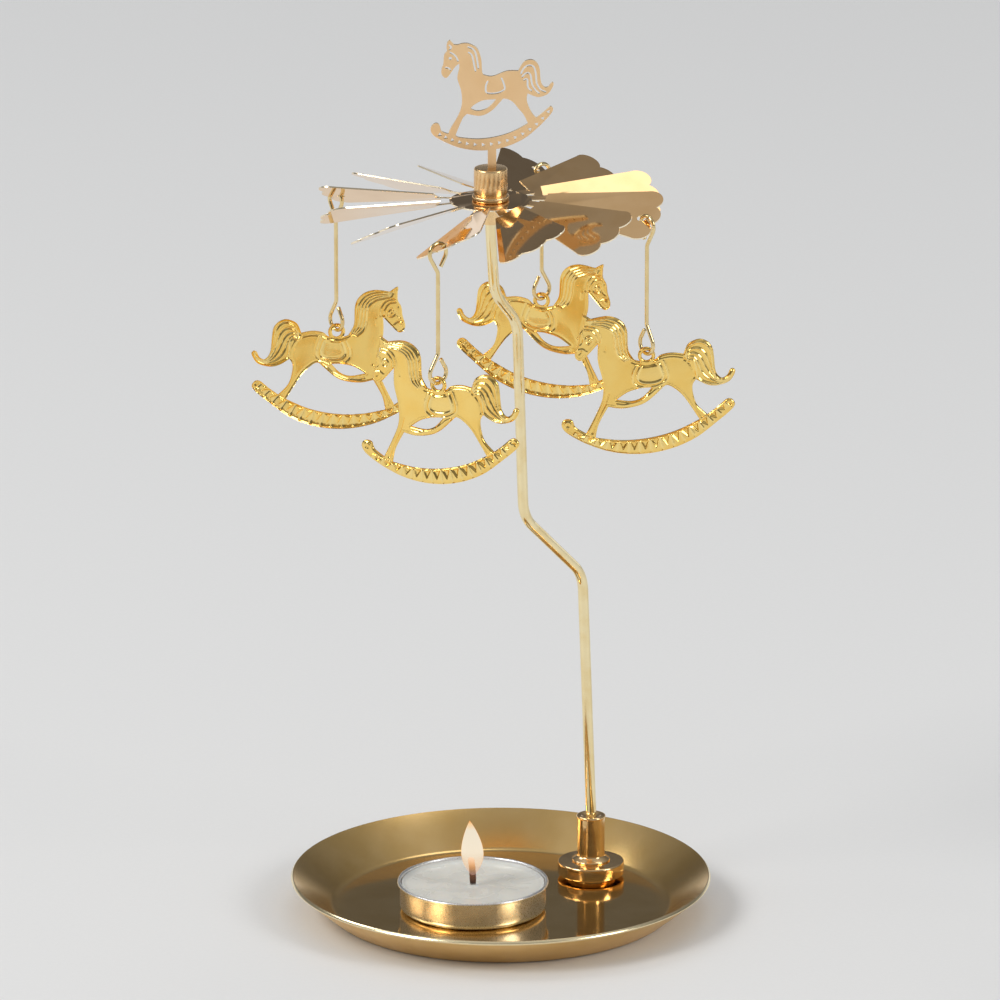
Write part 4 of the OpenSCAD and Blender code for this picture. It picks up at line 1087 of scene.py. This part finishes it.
def makeWick(s):  # a flat braid that leaves the holder upright, widens and leans over at its end
    low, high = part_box("wick")
    centre = middleOf("wick")
    thick = (high.x - low.x) / mm
    top = high.z + s["rise"] * mm
    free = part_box("tealight_wax")[1].z
    step = (top - low.z) / s["steps"]
    piece = startRing("braided_wick", s["sides"], thick / 2, (centre.x, centre.y, low.z), Vector((0, 0, 1)))

    def shareAt(z):  # 0 up to where the wick leaves the wax, 1 at its tip
        return max(0, (z - free) / (top - free))

    def widthsAt(t):
        return [1 + (size / thick - 1) * min(1, t * s["widenBy"]) for size in (s["width"], s["depth"])]

    for i in range(1, s["steps"] + 1):
        z = low.z + i * step
        t, before = shareAt(z), shareAt(z - step)
        extrudeBy((0, 0, step))
        bpy.ops.transform.translate(value=(s["lean"] * (t * t - before * before) * mm, 0, 0))
        ply = 1 + (s["ply"] if i % 2 else -s["ply"] / (1 + s["ply"])) * (t > 0)
        tip = s["tip"] if i == s["steps"] else 1
        widen = [now / last * ply * tip for now, last in zip(widthsAt(t), widthsAt(before))]
        at = Vector((centre.x + s["lean"] * t * t * mm, centre.y, z))
        bpy.ops.transform.resize(value=(*widen, 1), center_override=at)
        if t > 0:
            bpy.ops.transform.rotate(value=radians(s["twist"] / s["steps"]), orient_axis="Z",
                                     center_override=at)
    closeEnds()
    finishPiece(piece, 60, braidedWick(s), "tealight", "wick_cord", "wick")


def candleFlame(s, foot):  # clear at the foot and the rim, deeper orange where it is seen edge on
    material, plug, coords = newMaterial("candleFlame", metallic=0, Roughness=1.0,
                                         Base_Color=(0, 0, 0, 1), Emission_Strength=s["strength"])
    share = mapped(axisOf(coords, "Z"), 0, 1, foot, foot + s["height"] * mm)
    facing = make("LayerWeight", {"Blend": 0.5}).outputs["Facing"]
    heart, skin = ramp(share, s["heart"]), ramp(share, s["skin"])
    plug("Emission Color", mixed(mapped(facing, 0, 1, 0.62, 0.85), heart, skin))
    body = mapped(share, 0.3, 0.93, 0.2, 0.48)
    soft = mapped(facing, 1, 0.25, 0.75, 1.0)
    plug("Alpha", maths("MULTIPLY", body, soft))
    return material


def makeFlame(s):  # a leaf shape turned round the wick, then leant
    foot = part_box("wick")[1].z - s["start"] * mm
    belly = s["belly"]
    profile = []
    for i in range(s["steps"] + 1):
        t = i / s["steps"]
        if t < belly:
            wide = sin(pi / 2 * (t / belly)) ** s["footCurve"]
        else:
            wide = (1 - ((t - belly) / (1 - belly)) ** s["tipCurve"]) ** s["tipFull"]
        profile.append((wide * s["width"] / 2, foot / mm + t * s["height"]))
    piece = lathe("flame", middleOf("wick"), profile, s["sides"])
    for vertex in piece.data.vertices:
        t = (vertex.co.z - foot) / (s["height"] * mm)
        vertex.co.x += s["lean"] * t * t * mm
    finishPiece(piece, 180, candleFlame(s, foot), "tealight", "wick_cord")


foil = thinFoil(light["cup"])
makeCup(light["cup"], foil)
makeWax(light["wax"])
makeWick(light["wick"])
dressSolid(light["sustainer"], foil)
makeFlame(light["flame"])
print("tea light ready")


screw = {"node": "socket_screw", "piece": "slotted_screw", "body": "base", "slot": "screw_steel",
         "bevel": 0.12, "bevelFrom": 40, "smooth": 35, "grain": 3000, "rough": (0.18, 0.34),
         "colour": (0.74, 0.74, 0.75), "shade": (0.56, 0.56, 0.57)}


def plainSteel(s):
    material, plug, coords = newMaterial("plainSteel")
    fine = noise(coords, s["grain"], 3)
    plug("Base Color", shades(s, fine, 0.3, 0.7))
    plug("Roughness", mapped(fine, *s["rough"]))
    plug("Normal", bumped(fine, 0.1, 0.02))
    return material


dressSolid(screw, plainSteel(screw))
